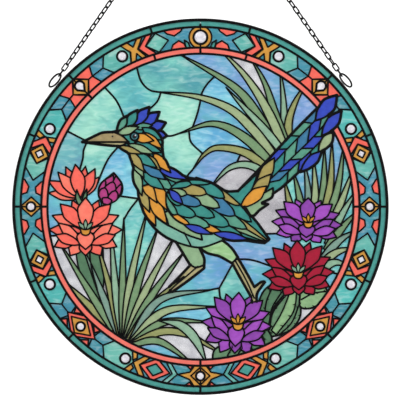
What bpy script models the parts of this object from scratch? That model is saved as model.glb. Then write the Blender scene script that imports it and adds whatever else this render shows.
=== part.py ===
"""A round leaded glass panel with a picture of a long-tailed bird, hung by a chain.

The panel stands in the XZ plane, its front towards -Y. The origin is the middle link
of the chain, which a hook holds. Plan coordinates are complex numbers in millimetres
about the panel's centre: the real part runs along X and the imaginary part along Z.
"""

import cmath
import math

import bmesh
import bpy
from mathutils import Vector
from mathutils.geometry import delaunay_2d_cdt

METRES = 0.001  # one millimetre
FIT_GAP = 0.3  # between pieces that touch

# The panel, from the rim inwards, in millimetres
PANEL_RADIUS = 150.0
RIM_WIDTH = 2.4
RIM_WALL = 1.1
RIM_FLANGE = 1.0
OUTER_RING_WIDTH = 4.4
BORDER_WIDTH = 16.4
CORAL_RING_WIDTH = 4.9
GLASS_THICKNESS = 3.0
LEAD_WIDTH = 1.6
LEAD_RISE = 0.6  # how far a lead line stands out over the gap above the glass
GEM_RADIUS = 4.2
GEM_RISE = 1.6

# The hanging loops and the chain
LOOP_ANGLE = 49.0  # on the clock, in degrees from the top
LOOP_LENGTH = 14.5
LOOP_WIDTH = 6.6
LOOP_WIRE = 1.4
HANG_HEIGHT = 264.0  # from the panel's centre up to the middle link
LINK_PITCH = 5.7
LINK_WIDTH = 4.4
LINK_WIRE = 1.0
LINK_WELD = 0.15  # the short neck that fuses two links where they touch
LINK_BITE = 0.75  # how many wires deep the arms hold in the middle link

LEAF_BELLY = 0.45  # how far up a leaf is widest, as a share of its length
SHORT_LEAF = 0.84  # every other leaf of a fan, as a share of its reach
OVERRUN = 0.1  # how far the border's lines run on past its edges, as a share of its width
CHEVRON_HEEL = 0.2  # how far a chevron's ends lean back, as a share of its point

CIRCLE_SIDES = 32
LOOP_SIDES = 10
GEM_SIDES = 6

RIM_INNER = PANEL_RADIUS - RIM_WIDTH
OUTER_RING_INNER = RIM_INNER - OUTER_RING_WIDTH
BORDER_INNER = OUTER_RING_INNER - BORDER_WIDTH
PICTURE_RADIUS = BORDER_INNER - CORAL_RING_WIDTH
GLASS_EDGE = PANEL_RADIUS - RIM_WALL - FIT_GAP
HALF_LEAD = LEAD_WIDTH / 2
GLASS_BACK = GLASS_THICKNESS / 2
GLASS_FRONT = -GLASS_THICKNESS / 2
LEAD_UNDER = GLASS_FRONT - FIT_GAP
LEAD_FRONT = LEAD_UNDER - LEAD_RISE
LEAD_BACK = GLASS_BACK + FIT_GAP + LEAD_RISE
RIM_BACK = GLASS_BACK + FIT_GAP + RIM_FLANGE
PANEL_CENTRE = Vector((0, 0, -HANG_HEIGHT))
SHARP_TURN = math.radians(100)
PARALLEL = 1e-3
MERGED = 1e-4  # plan points closer than this are one point
DOUBLED = 0.01
STRAIGHT = 0.003  # how far off the straight run between its neighbours a point may be dropped
SPIKE = math.radians(179)
FLAT = math.radians(0.05)  # between faces that are one flat face
LEAST_PANE = 40.0  # square millimetres, below which a pane or tile is all lead
LEAST_TILE = 14.0
LEAST_OPENING = 3.5
FULL_GAP = 0.98  # the share of an inset that counts as all of it

COLOURS = {
    "metal": (0.01, 0.01, 0.012),
    "outer_ring": (0.07, 0.38, 0.33),
    "coral_ring": (0.95, 0.2, 0.13),
    "border": (0.5, 0.35, 0.12),
    "sky": (0.2, 0.5, 0.55),
    "bird": (0.05, 0.3, 0.3),
    "flower_coral": (0.95, 0.2, 0.13),
    "flower_bud": (0.5, 0.04, 0.2),
    "flower_purple": (0.36, 0.08, 0.5),
    "flower_crimson": (0.4, 0.01, 0.05),
    "cactus": (0.12, 0.28, 0.14),
}
METAL_NAMES = ("lead", "rim", "chain", "hanging")
METAL_ROUGHNESS = 0.45
METAL_METALLIC = 0.8
GLASS_ROUGHNESS = 0.15


def polar(clock, radius):
    """The plan point at an angle from the top, clockwise, in degrees."""
    return radius * complex(math.sin(math.radians(clock)), math.cos(math.radians(clock)))


def faceted(clock, radius):
    """The same, on the circle's chords, so that every ring keeps its gap to the next."""
    half = 180 / CIRCLE_SIDES
    from_middle = clock % (2 * half) - half
    return polar(clock, radius * math.cos(math.radians(half)) / math.cos(math.radians(from_middle)))


def arc(start, end, radius):
    """The chords of a circle between two clock angles, both ends included."""
    step = 360 / CIRCLE_SIDES
    first, last = sorted((start, end))
    corners = [i * step for i in range(math.floor(first / step) + 1, math.ceil(last / step))]
    points = [faceted(clock, radius) for clock in [first, *corners, last]]
    return points if start < end else points[::-1]


def circle(radius):
    return arc(360, 0, radius)[:-1]


def band(start, end, inner, outer):
    """A length of ring between two clock angles."""
    return arc(start, end, inner) + arc(end, start, outer)


def picture(*points):
    """Plan points from hundredths of the picture's radius."""
    return [p * PICTURE_RADIUS / 100 for p in points]


def blade(base, tip, bend, width):
    """A long leaf that bows to one side and tapers to its tip, in hundredths."""
    along = tip - base
    belly = base + along * (LEAF_BELLY + 1j * bend)
    half = 1j * along / abs(along) * width / 2
    return picture(base - half / 2, belly - half, tip, belly + half, base + half / 2)


def fan(base, reach, first, last, count, width, bend):
    """Blades from one root, their tips spread over a range of clock angles."""
    blades = []
    for i in range(count):
        share = i / (count - 1)
        length = reach if i % 2 else SHORT_LEAF * reach
        tip = base + polar(first + (last - first) * share, length)
        blades.append(blade(base, tip, bend * (2 * share - 1), width))
    return blades


def flower(centre, wide, high, petals, notch):
    """The outline of an open flower: pointed petals with notches between them."""
    outline = []
    for i in range(2 * petals):
        spoke = polar(180 * i / petals, notch if i % 2 else 1)
        outline.append(centre + complex(spoke.real * wide, spoke.imag * high))
    return picture(*outline)


def border(clock, share):
    """A point by its angle and its share of the way out across the border."""
    return faceted(clock, BORDER_INNER + share * BORDER_WIDTH)


def diamond(clock, half_angle):
    points = [border(clock, -OVERRUN), border(clock + half_angle, 0.5), border(clock, 1 + OVERRUN)]
    return [*points, border(clock - half_angle, 0.5), points[0]]


def chevron(clock, lean):
    """A bent line across the border, whose middle leans along the ring by so many degrees."""
    heel = clock - lean * CHEVRON_HEEL
    return [border(heel, -OVERRUN), border(clock + lean, 0.5), border(heel, 1 + OVERRUN)]


OUTER_RING_CUTS = [0, 15.6, 45, 67, 90, 114, 135, 180, 225, 246, 270, 293, 315, 344.4, 360]
CORAL_RING_CUTS = [0, 17, 54, 90, 180, 270, 315, 343, 360]  # the one at 54 is under the tail
BORDER_CUTS = [-21, 21, 67, 113, 159, 201, 247, 293, 339]
GEMS = [0, 27.3, 45, 62.9, 90, 117, 135, 153.7]
DIAMONDS = {14.5: 3.4, 45: 6, 72.5: 3.4, 90: 3.6, 107.5: 3.4, 135: 6, 165: 4.2}
CHEVRONS = {6: 2, 33: 3, 57: -3, 80: 3, 100: -3, 123: 3, 147: -3}

BIRD_TAIL = picture(23 + 8j, 40 + 27j, 59 + 50j, 78 + 69j, 88 + 72j, 91 + 60j, 84 + 44j, 55 + 20j, 40 + 5j)
BIRD_BREAST = picture(-42 + 11j, -36 - 3j, -29 - 14j, -19 - 22j, 0 - 27j, 18 - 20j, 0 + 0j, -18 + 12j)
BIRD_BACK = picture(-21 + 13j, -15 + 21j, 0 + 17j, 25 + 10j, 40 + 5j, 34 - 6j, 20 - 16j, 0 + 0j)
BIRD_WING = picture(-21 + 11j, -14 + 15j, 0 + 14j, 16 + 8j, 45 - 23j, 26 - 22j, 9 - 20j, -7 - 14j, -18 - 2j)
BIRD_NECK = picture(-26 + 38j, -22 + 27j, -15 + 21j, -21 + 11j, -42 + 11j, -44 + 24j, -46 + 33j)
BIRD_CREST = [-56 + 49j, -47 + 59j, -39 + 65j, -35 + 61j, -29 + 63j, -28 + 57j]
BIRD_HEAD = picture(-76 + 43j, *BIRD_CREST, -23 + 49j, -26 + 38j, -46 + 33j)
BIRD_LEFT_LEG = picture(-15 - 20j, -6 - 39j, -21 - 54j, -18 - 57j, 2 - 37j, 1 - 22j)
BIRD_RIGHT_LEG = picture(0 - 22j, 20 - 37j, 31 - 58j, 36 - 58j, 27 - 31j, 17 - 18j)
FLOWER_BUD = picture(-59 + 4j, -64 + 10j, -60 + 17j, -54 + 12j)

# Lead lines inside the picture's areas, and those that part the background
TAIL_CUTS = [(30 + 3j, 60 + 35j, 92 + 70j), (36 + 25j, 48 + 10j), (60 + 52j, 66 + 24j)]
WING_CUTS = [(-18 + 16j, 8 + 0j, 44 - 23j), (-8 + 16j, -6 - 18j), (12 + 12j, 14 - 22j)]
PARTING_CUTS = [
    (-39 + 63j, -52 + 92j),
    (-60 + 40j, -99 + 42j),
    (-33 - 6j, -60 - 10j),
    (-5 - 38j, 20 - 70j),
]
JOINING_CUTS = [(-40 + 18j, -60 + 12j), (-62 + 8j, -70 - 2j)]
BACKGROUND_NAMES = {
    "sky_upper_left": -70 + 60j,
    "sky_and_agave_above": 0 + 80j,
    "sky_and_agave_left": -66 + 25j,
    "sky_between_legs": 15 - 45j,
    "sky_and_agave_right": 80 + 25j,
    "sky_lower_right": 45 - 84j,
}


def areas():
    """Every area of the glass as (node, outline), lower ones first."""
    found = [("background", circle(PICTURE_RADIUS + CORAL_RING_WIDTH / 2))]
    for leaf in fan(48 + 27j, 74, -88, 18, 6, 7, -0.08) + fan(64 - 14j, 50, -25, 65, 5, 8, 0.04):
        found.append(("background", leaf))
    found.append(("bird_leg_left", BIRD_LEFT_LEG))
    found.append(("bird_leg_right", BIRD_RIGHT_LEG))
    for leaf in fan(-50 - 83j, 80, -38, 66, 6, 8, -0.05):
        found.append(("background", leaf))
    found.append(("cactus_lower", flower(14 - 92j, 20, 14, 5, 0.9)))
    found.append(("cactus_right", flower(58 - 62j, 27, 20, 5, 0.9)))
    found.append(("flower_coral_upper", flower(-81 + 16j, 16, 15, 7, 0.7)))
    found.append(("flower_coral_lower", flower(-75 - 13j, 22, 19, 7, 0.7)))
    found.append(("flower_bud", FLOWER_BUD))
    found.append(("flower_purple_right", flower(70 - 10j, 21, 14, 7, 0.7)))
    found.append(("flower_crimson", flower(64 - 40j, 22, 17, 7, 0.7)))
    found.append(("flower_purple_lower", flower(23 - 76j, 19, 17, 7, 0.7)))
    for i, (start, end) in enumerate(zip(CORAL_RING_CUTS, CORAL_RING_CUTS[1:])):
        ring = band(start, end, PICTURE_RADIUS, BORDER_INNER + BORDER_WIDTH / 2)
        found.append((f"coral_ring_glass_{i + 1}", ring))
    for i, (start, end) in enumerate(zip(BORDER_CUTS, BORDER_CUTS[1:])):
        ring = band(start, end, BORDER_INNER, OUTER_RING_INNER + OUTER_RING_WIDTH / 2)
        found.append((f"border_panel_{i + 1}", ring))
    for i, (start, end) in enumerate(zip(OUTER_RING_CUTS, OUTER_RING_CUTS[1:])):
        ring = band(start, end, OUTER_RING_INNER, GLASS_EDGE + HALF_LEAD + FIT_GAP)
        found.append((f"outer_ring_glass_{i + 1}", ring))
    found.append(("bird_tail", BIRD_TAIL))
    found.append(("bird_back", BIRD_BACK))
    found.append(("bird_breast", BIRD_BREAST))
    found.append(("bird_neck", BIRD_NECK))
    found.append(("bird_wing", BIRD_WING))
    found.append(("bird_head", BIRD_HEAD))
    return found


def cuts():
    """Every lead line inside an area as (node's first letters, whether it goes right through, line)."""
    found = [("background", True, picture(*line)) for line in PARTING_CUTS]
    found += [("background", False, picture(*line)) for line in JOINING_CUTS]
    found += [("bird_tail", False, picture(*line)) for line in TAIL_CUTS]
    found += [("bird_wing", False, picture(*line)) for line in WING_CUTS]
    for side in (1, -1):
        for clock, half_angle in DIAMONDS.items():
            found.append(("border", False, diamond(side * clock, half_angle)))
        for clock, lean in CHEVRONS.items():
            found.append(("border", False, chevron(side * clock, side * lean)))
    found.append(("border", False, diamond(180, 6)))
    return found


def triangulated(points, edges, faces):
    """Constrained triangles over plan points, with each one's faces and each edge's source lines."""
    flat = [Vector((p.real, p.imag)) for p in points]
    corners, sides, triangles, _, side_sources, sources = delaunay_2d_cdt(flat, edges, faces, 0, MERGED, True)
    plan = [complex(*corner) for corner in corners]
    lines = {}
    for (a, b), source in zip(sides, side_sources):
        lines[frozenset((a, b))] = [i for i in source if i < len(edges)]
    turned = []
    for a, b, c in triangles:
        left = ((plan[b] - plan[a]).conjugate() * (plan[c] - plan[a])).imag > 0
        turned.append((a, b, c) if left else (a, c, b))
    outlines = [[points[i] for i in face] for face in faces]
    return plan, turned, right_side_out(plan, turned, sources, outlines), lines


def right_side_out(plan, triangles, sources, outlines):
    """Each triangle's outlines, after those that were filled on their outer side are turned over."""
    sizes = [area_of([[plan[c] for c in corners]]) for corners in triangles]
    covered = [0.0] * len(outlines)
    for size, held in zip(sizes, sources):
        for i in held:
            covered[i] += size
    flipped = set()
    for i, outline in enumerate(outlines):
        wanted = area_of([outline])
        if abs(covered[i] - wanted) > abs(sum(sizes) - covered[i] - wanted):
            flipped.add(i)
    return [set(held) ^ flipped for held in sources]


def flooded(triangles, wanted, may_pass):
    """Groups of the wanted triangles that meet across sides which may be passed."""
    across = {}
    for t in wanted:
        a, b, c = triangles[t]
        for side in ((a, b), (b, c), (c, a)):
            across.setdefault(frozenset(side), []).append(t)
    groups, left = [], set(wanted)
    while left:
        group, waiting = [], [left.pop()]
        while waiting:
            t = waiting.pop()
            group.append(t)
            a, b, c = triangles[t]
            for side in ((a, b), (b, c), (c, a)):
                for other in across[frozenset(side)]:
                    if other in left and may_pass(t, other, frozenset(side)):
                        left.discard(other)
                        waiting.append(other)
        groups.append(sorted(group))
    return groups


def loops_around(plan, triangles):
    """The closed outlines of a group of triangles, each with the group on its left."""
    sides = {}
    for a, b, c in triangles:
        for side in ((a, b), (b, c), (c, a)):
            sides[side] = True
    onward = {}
    for a, b in sides:
        if (b, a) not in sides:
            onward.setdefault(a, []).append(b)
    loops = []
    while onward:
        start = next(iter(onward))
        loop, before, here = [], None, start
        while here in onward:
            ways = onward[here]
            if before is None or len(ways) == 1:
                chosen = ways[0]
            else:
                back = plan[before] - plan[here]
                chosen = min(ways, key=lambda w: -cmath.phase((plan[w] - plan[here]) / back) % (2 * math.pi))
            ways.remove(chosen)
            if not ways:
                del onward[here]
            loop.append(plan[here])
            before, here = here, chosen
            if here == start:
                break
        loops.append(straightened(loop))
    return [loop for loop in loops if len(loop) > 2]


def straightened(loop):
    """The outline without doubled points, points on a straight run and spikes of no width."""
    kept = list(loop)
    settled = 0
    while settled < len(kept) and len(kept) > 2:
        before, here, after = kept[-1], kept[0], kept[1]
        step, span = abs(here - before), abs(after - before)
        straight = step > 0 and span > 0 and abs(((here - before) / (after - before)).imag) * span < STRAIGHT
        spiked = step > 0 and after != here and abs(cmath.phase((after - here) / (here - before))) > SPIKE
        if step < DOUBLED or straight or spiked:
            kept.pop(0)
            settled = 0
        else:
            kept.append(kept.pop(0))
            settled += 1
    return kept


def anticlockwise(outline):
    return outline if area_of([outline]) > 0 else outline[::-1]


def area_of(loops):
    return sum((a.conjugate() * b).imag for loop in loops for a, b in zip(loop, loop[1:] + loop[:1])) / 2


def corner(before, after, distance):
    """Where two sides meet once both have moved to their left: two points around a sharp outer tip."""
    (a, a_end), (b, b_end) = before, after
    into = (a_end - a) / abs(a_end - a)
    out = (b_end - b) / abs(b_end - b)
    turn = cmath.phase(out / into)
    if a_end == b and turn < -SHARP_TURN:
        return [b + distance * (1j * into + into), b + distance * (1j * out - out)]
    a += 1j * into * distance
    b += 1j * out * distance
    lean = (into.conjugate() * out).imag
    if abs(lean) < PARALLEL:
        return [b]
    return [a + into * ((b - a).conjugate() * out).imag / lean]


def shifted(loop, distance):
    """The outline with every side moved to its left, less the sides that vanish on the way."""
    sides = list(zip(loop, loop[1:] + loop[:1]))
    while True:
        corners = [corner(sides[i - 1], sides[i], distance) for i in range(len(sides))]
        lengths = []
        for i, (start, end) in enumerate(sides):
            run = corners[(i + 1) % len(sides)][0] - corners[i][-1]
            lengths.append((run * (end - start).conjugate()).real / abs(end - start))
        if min(lengths) > 0 or len(sides) < 4:
            return [point for pair in corners for point in pair]
        del sides[lengths.index(min(lengths))]


def winding(point, loops):
    turns = 0.0
    for loop in loops:
        for a, b in zip(loop, loop[1:] + loop[:1]):
            turns += cmath.phase((b - point) / (a - point))
    return round(turns / (2 * math.pi))


def clearance(point, loops):
    """How far a point is from the nearest side of any outline."""
    nearest = math.inf
    for loop in loops:
        for a, b in zip(loop, loop[1:] + loop[:1]):
            share = ((point - a) / (b - a)).real
            nearest = min(nearest, abs(point - a - (b - a) * min(max(share, 0), 1)))
    return nearest


def inset(loops, distance):
    """Outlines that lie a distance inside the given ones, as groups of one outline and its holes."""
    raw = [shifted(loop, distance) for loop in loops]
    points, edges = [], []
    for loop in raw:
        start = len(points)
        points += loop
        edges += [(start + i, start + (i + 1) % len(loop)) for i in range(len(loop))]
    plan, triangles, _, lines = triangulated(points, edges, [])
    inside = []
    for t, corners in enumerate(triangles):
        centre = sum(plan[c] for c in corners) / 3
        if winding(centre, raw) > 0 and clearance(centre, loops) > distance * FULL_GAP:
            inside.append(t)
    groups = []
    for group in flooded(triangles, inside, lambda t, other, side: True):
        found = loops_around(plan, [triangles[t] for t in group])
        if area_of(found) > LEAST_OPENING:
            groups.append(found)
    return groups


def cells():
    """The panes by node and the smaller tiles within them, as outlines on the lead's middle lines."""
    layers, lines = areas(), cuts()
    points, edges, faces, owners = [], [], [], []
    for cut in lines:
        start = len(points)
        points += cut[2]
        for i in range(len(cut[2]) - 1):
            edges.append((start + i, start + i + 1))
            owners.append(cut)
    for _, outline in layers:
        faces.append(list(range(len(points), len(points) + len(outline))))
        points += anticlockwise(outline)
    plan, triangles, sources, cut_by = triangulated(points, edges, faces)
    top = {t: max(source) for t, source in enumerate(sources) if source}

    def divided(t, side, deep_only):
        node = layers[top[t]][0]
        for i in cut_by.get(side, []):
            prefix, deep, _ = owners[i]
            if node.startswith(prefix) and (deep or not deep_only):
                return True
        return False

    def same_pane(t, other, side):
        return layers[top[t]][0] == layers[top[other]][0] and not divided(t, side, True)

    def same_tile(t, other, side):
        return top[t] == top[other] and not divided(t, side, False)

    panes = []
    for group in flooded(triangles, top, same_pane):
        panes.append((layers[top[group[0]]][0], loops_around(plan, [triangles[t] for t in group])))
    tiles = []
    for group in flooded(triangles, top, same_tile):
        tiles.append(loops_around(plan, [triangles[t] for t in group]))
    return panes, tiles


def stacked(name, layers, levels):
    """A solid of flat layers: each is a list of (outline, +1 or -1), between two of the levels."""
    points, faces, marks = [], [], []
    for layer, outlines in enumerate(layers):
        for outline, sign in outlines:
            faces.append(list(range(len(points), len(points) + len(outline))))
            points += anticlockwise(outline)
            marks.append((layer, sign))
    plan, triangles, sources, _ = triangulated(points, [], faces)
    filled = []
    for layer in range(len(layers)):
        filled.append([sum(marks[s][1] for s in source if marks[s][0] == layer) > 0 for source in sources])
    none = [False] * len(triangles)
    bounded = [none, *filled, none]
    used = [set() for _ in levels]
    polygons = []
    for level in range(len(levels)):
        for t, corners in enumerate(triangles):
            if bounded[level][t] != bounded[level + 1][t]:
                used[level].update(corners)
                polygons.append([(c, level) for c in corners])
    beside = {}
    for t, (a, b, c) in enumerate(triangles):
        for side in ((a, b), (b, c), (c, a)):
            beside.setdefault(frozenset(side), []).append(t)
    for side, pair in beside.items():
        a, b = side
        walled = [sum(filled[layer][t] for t in pair) == 1 for layer in range(len(layers))]
        keepers = [filled[layer][pair[0]] for layer in range(len(layers))]
        layer = 0
        while layer < len(layers):
            if not walled[layer]:
                layer += 1
                continue
            last = layer
            while last + 1 < len(layers) and walled[last + 1] and keepers[last + 1] == keepers[layer]:
                last += 1
            rise = [(a, layer), *((a, k) for k in range(layer + 1, last + 1) if a in used[k]), (a, last + 1)]
            fall = [(b, last + 1), *((b, k) for k in range(last, layer, -1) if b in used[k]), (b, layer)]
            polygons.append(rise + fall)
            layer = last + 1
    mesh = bmesh.new()
    corners = {}
    for polygon in polygons:
        for c, level in polygon:
            if (c, level) not in corners:
                corners[c, level] = mesh.verts.new((plan[c].real, levels[level], plan[c].imag))
        mesh.faces.new([corners[key] for key in polygon])
    placed(name, mesh)


def material_for(name):
    kind = "metal" if name.startswith(METAL_NAMES) else kind_of(name)
    material = bpy.data.materials.new(name)
    material.use_nodes = True
    shader = material.node_tree.nodes["Principled BSDF"]
    shader.inputs["Base Color"].default_value = (*COLOURS[kind], 1)
    shader.inputs["Roughness"].default_value = METAL_ROUGHNESS if kind == "metal" else GLASS_ROUGHNESS
    shader.inputs["Metallic"].default_value = METAL_METALLIC if kind == "metal" else 0
    return material


def placed(name, mesh):
    """Makes an object of a mesh in millimetres about the panel's centre."""
    bmesh.ops.recalc_face_normals(mesh, faces=mesh.faces[:])
    bmesh.ops.dissolve_limit(mesh, angle_limit=FLAT, verts=mesh.verts[:], edges=mesh.edges[:])
    bmesh.ops.triangulate(mesh, faces=mesh.faces[:])
    bmesh.ops.scale(mesh, vec=(METRES, METRES, METRES), verts=mesh.verts[:])
    bmesh.ops.translate(mesh, vec=PANEL_CENTRE * METRES, verts=mesh.verts[:])
    data = bpy.data.meshes.new(name)
    mesh.to_mesh(data)
    mesh.free()
    data.materials.append(material_for(name))
    bpy.context.scene.collection.objects.link(bpy.data.objects.new(name, data))


def kind_of(name):
    return next((kind for kind in COLOURS if name.startswith(kind)), "sky")


def signed(groups):
    """Outlines and their holes as areas to add up."""
    return [(loop, 1 if area_of([loop]) > 0 else -1) for loops in groups for loop in loops]


def opposite(outlines):
    return [(outline, -sign) for outline, sign in outlines]


def gem_places():
    """The middles of the round stones set in the border."""
    middle = BORDER_INNER + BORDER_WIDTH / 2
    return [polar(clock, middle) for clock in [*GEMS, 180, *(-clock for clock in GEMS if clock)]]


def named(node, glass, taken):
    """A pane's own name, from its node or from its place in the background."""
    name = node
    if node == "background":
        held = [known for known, seed in BACKGROUND_NAMES.items() if winding(picture(seed)[0], glass) > 0]
        name = held[0] if held else "sky_glass"
    taken[name] = taken.get(name, 0) + 1
    return name if taken[name] == 1 else f"{name}_{taken[name]}"


def make_pane(name, glass):
    """A pane with the stones that stand on it."""
    domes = []
    for gem in gem_places():
        if name.startswith("border") and winding(gem, glass) > 0:
            domes.append(([gem + polar(360 * i / GEM_SIDES, GEM_RADIUS) for i in range(GEM_SIDES)], 1))
    if domes:
        stacked(name, [domes, signed([glass])], [GLASS_FRONT - GEM_RISE, GLASS_FRONT, GLASS_BACK])
    else:
        stacked(name, [signed([glass])], [GLASS_FRONT, GLASS_BACK])


def make_glass_and_lead():
    panes, tiles = cells()
    through = [(circle(RIM_INNER - FIT_GAP), 1)]
    over = list(through)
    taken = {}
    for node, loops in panes:
        if area_of(loops) < LEAST_PANE:
            continue
        openings = inset(loops, HALF_LEAD)
        through += opposite(signed(openings))
        for opening in openings:
            for glass in inset(opening, FIT_GAP):
                make_pane(named(node, glass, taken), glass)
    for loops in tiles:
        if area_of(loops) >= LEAST_TILE:
            over += opposite(signed(inset(loops, HALF_LEAD)))
    stacked("lead_web", [over, through], [LEAD_FRONT, LEAD_UNDER, LEAD_BACK])


def make_rim():
    """A channel bent into a ring, open inwards, that holds the edge of the outer ring's glass."""
    wall = [(circle(PANEL_RADIUS), 1), (circle(PANEL_RADIUS - RIM_WALL), -1)]
    flange = [(circle(PANEL_RADIUS), 1), (circle(RIM_INNER), -1)]
    levels = [-RIM_BACK, -RIM_BACK + RIM_FLANGE, RIM_BACK - RIM_FLANGE, RIM_BACK]
    stacked("rim", [flange, wall, flange], levels)


def ring_of(mesh, inner, outer, across):
    """A closed wire of three sides: flat along its inner path, with one edge along the outer path."""
    rows = []
    for near, far in zip(inner, outer):
        rows.append([mesh.verts.new(near + across), mesh.verts.new(near - across), mesh.verts.new(far)])
    flats = []
    for i, row in enumerate(rows):
        after = rows[(i + 1) % len(rows)]
        for j in range(3):
            k = (j + 1) % 3
            face = mesh.faces.new((row[j], row[k], after[k], after[j]))
            if j == 0:
                flats.append(face)
    return flats


def make_loop(name, side):
    """An oval of wire that stands beside the rim and takes the chain's last link."""
    centre = polar(side * LOOP_ANGLE, PANEL_RADIUS + FIT_GAP + LOOP_WIDTH / 2)
    out = polar(side * LOOP_ANGLE, 1)
    along = out * 1j
    inner, outer = [], []
    for i in range(LOOP_SIDES):
        turn = 2 * math.pi * (i + 0.5) / LOOP_SIDES
        for path, shrink in ((inner, LOOP_WIRE), (outer, 0)):
            length, width = LOOP_LENGTH / 2 - shrink, LOOP_WIDTH / 2 - shrink
            point = centre + along * math.cos(turn) * length + out * math.sin(turn) * width
            path.append(Vector((point.real, 0, point.imag)))
    mesh = bmesh.new()
    ring_of(mesh, inner, outer, Vector((0, LOOP_WIRE / 2, 0)))
    placed(name, mesh)


def link(mesh, centre, along, wide, length):
    """One chain link: its middle, the ways that its length and width lie, and its inner length."""
    thick = along.cross(wide) * LINK_WIRE / 2
    half_width = LINK_WIDTH / 2
    inner, outer = [], []
    for x, y in ((1, -1), (1, 1), (-1, 1), (-1, -1)):
        inner.append(centre + along * x * length / 2 + wide * y * (half_width - LINK_WIRE))
        outer.append(centre + along * x * (length / 2 + LINK_WIRE) + wide * y * half_width)
    flats = ring_of(mesh, inner, outer, thick)
    return flats[0], flats[2]


def welded(mesh, first, second):
    """Replaces two facing flats by a short neck between them."""
    starts, ends = list(first.verts), list(second.verts)
    mesh.faces.remove(first)
    mesh.faces.remove(second)
    offset = min(range(4), key=lambda k: sum((starts[i].co - ends[(k - i) % 4].co).length for i in range(4)))
    for i in range(4):
        after = (i + 1) % 4
        mesh.faces.new((starts[i], starts[after], ends[(offset - after) % 4], ends[(offset - i) % 4]))


def make_chain(name, start, end):
    """A straight run of links between two inner faces, each a quarter turn from the last."""
    way = (end - start).normalized()
    run = (end - start).length - LINK_WELD
    count = 2 * round(run / LINK_PITCH / 2 - 0.5) + 1  # odd, so that both end links lie the same way
    pitch = run / count
    front = Vector((0, -1, 0))
    upright = way.cross(front)
    mesh = bmesh.new()
    last = None
    for i in range(count):
        middle = start + way * (pitch * (i + 0.5) + LINK_WELD / 2)
        far, near = link(mesh, middle, way, upright if i % 2 else front, pitch + LINK_WELD)
        if last:
            welded(mesh, last, near)
        last = far
    placed(name, mesh)


def make_hanging():
    """The two loops, the chain's two arms and the middle link that a hook holds."""
    top = -PANEL_CENTRE
    mesh = bmesh.new()
    link(mesh, top, Vector((1, 0, 0)), Vector((0, 0, 1)), LINK_PITCH)
    placed("hanging_link", mesh)
    for side, word in ((-1, "left"), (1, "right")):
        make_loop(f"hanging_loop_{word}", side)
        out = polar(side * LOOP_ANGLE, 1)
        eye = out * (PANEL_RADIUS + FIT_GAP + LOOP_WIDTH / 2)
        eye += out * 1j * side * (LOOP_LENGTH / 2 - LOOP_WIRE) * math.cos(math.pi / LOOP_SIDES)
        start = top + Vector((side * (LINK_PITCH / 2 - LINK_WIRE * LINK_BITE), 0, 0))
        end = Vector((eye.real, 0, eye.imag))
        way = (end - start).normalized()
        make_chain(f"chain_{word}", start, end + way * (FIT_GAP + LINK_WIRE / 2))


for old in list(bpy.data.objects):
    bpy.data.objects.remove(old, do_unlink=True)
make_glass_and_lead()
make_rim()
make_hanging()
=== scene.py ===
import cmath
import math

import bpy
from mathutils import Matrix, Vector
from mathutils.geometry import delaunay_2d_cdt


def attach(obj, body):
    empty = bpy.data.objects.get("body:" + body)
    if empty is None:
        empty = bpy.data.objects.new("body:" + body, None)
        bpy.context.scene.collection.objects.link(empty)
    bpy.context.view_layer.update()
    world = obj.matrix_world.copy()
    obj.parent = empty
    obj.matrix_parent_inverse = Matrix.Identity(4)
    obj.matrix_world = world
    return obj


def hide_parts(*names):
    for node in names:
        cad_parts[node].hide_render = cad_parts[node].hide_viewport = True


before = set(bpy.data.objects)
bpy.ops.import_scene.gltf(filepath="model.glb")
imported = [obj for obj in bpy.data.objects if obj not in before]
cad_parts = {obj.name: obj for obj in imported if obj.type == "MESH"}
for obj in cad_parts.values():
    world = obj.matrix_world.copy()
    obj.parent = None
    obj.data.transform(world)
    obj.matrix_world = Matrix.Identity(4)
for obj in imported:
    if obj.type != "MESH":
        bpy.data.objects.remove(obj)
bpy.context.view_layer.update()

# Plan points are complex numbers in millimetres about the panel's centre: real along X, imaginary along Z
panel = {
    "centre": -264.0,  # height of the panel's centre, under the hook at the origin
    "radius": 150.0, "rimInner": 147.6, "ringInner": 143.2, "borderInner": 126.8, "pictureRadius": 121.9,
    "glassEdge": 148.6, "glassFront": -1.5, "glassBack": 1.5,
    "edgeGap": 0.22,  # between a piece of glass and the middle line of its lead
    "step": 1.3,  # between the points of a curve
    "leastGlass": 1.2,  # in square millimetres: anything smaller is filled with solder
    "sharpTurn": 48,  # in degrees: where a lead line turns by more, it is soldered
}
lineWidths = {"fine": 0.9, "thin": 1.3, "plain": 1.6, "ring": 1.8, "bold": 2.3}  # of the lead lines

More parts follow.
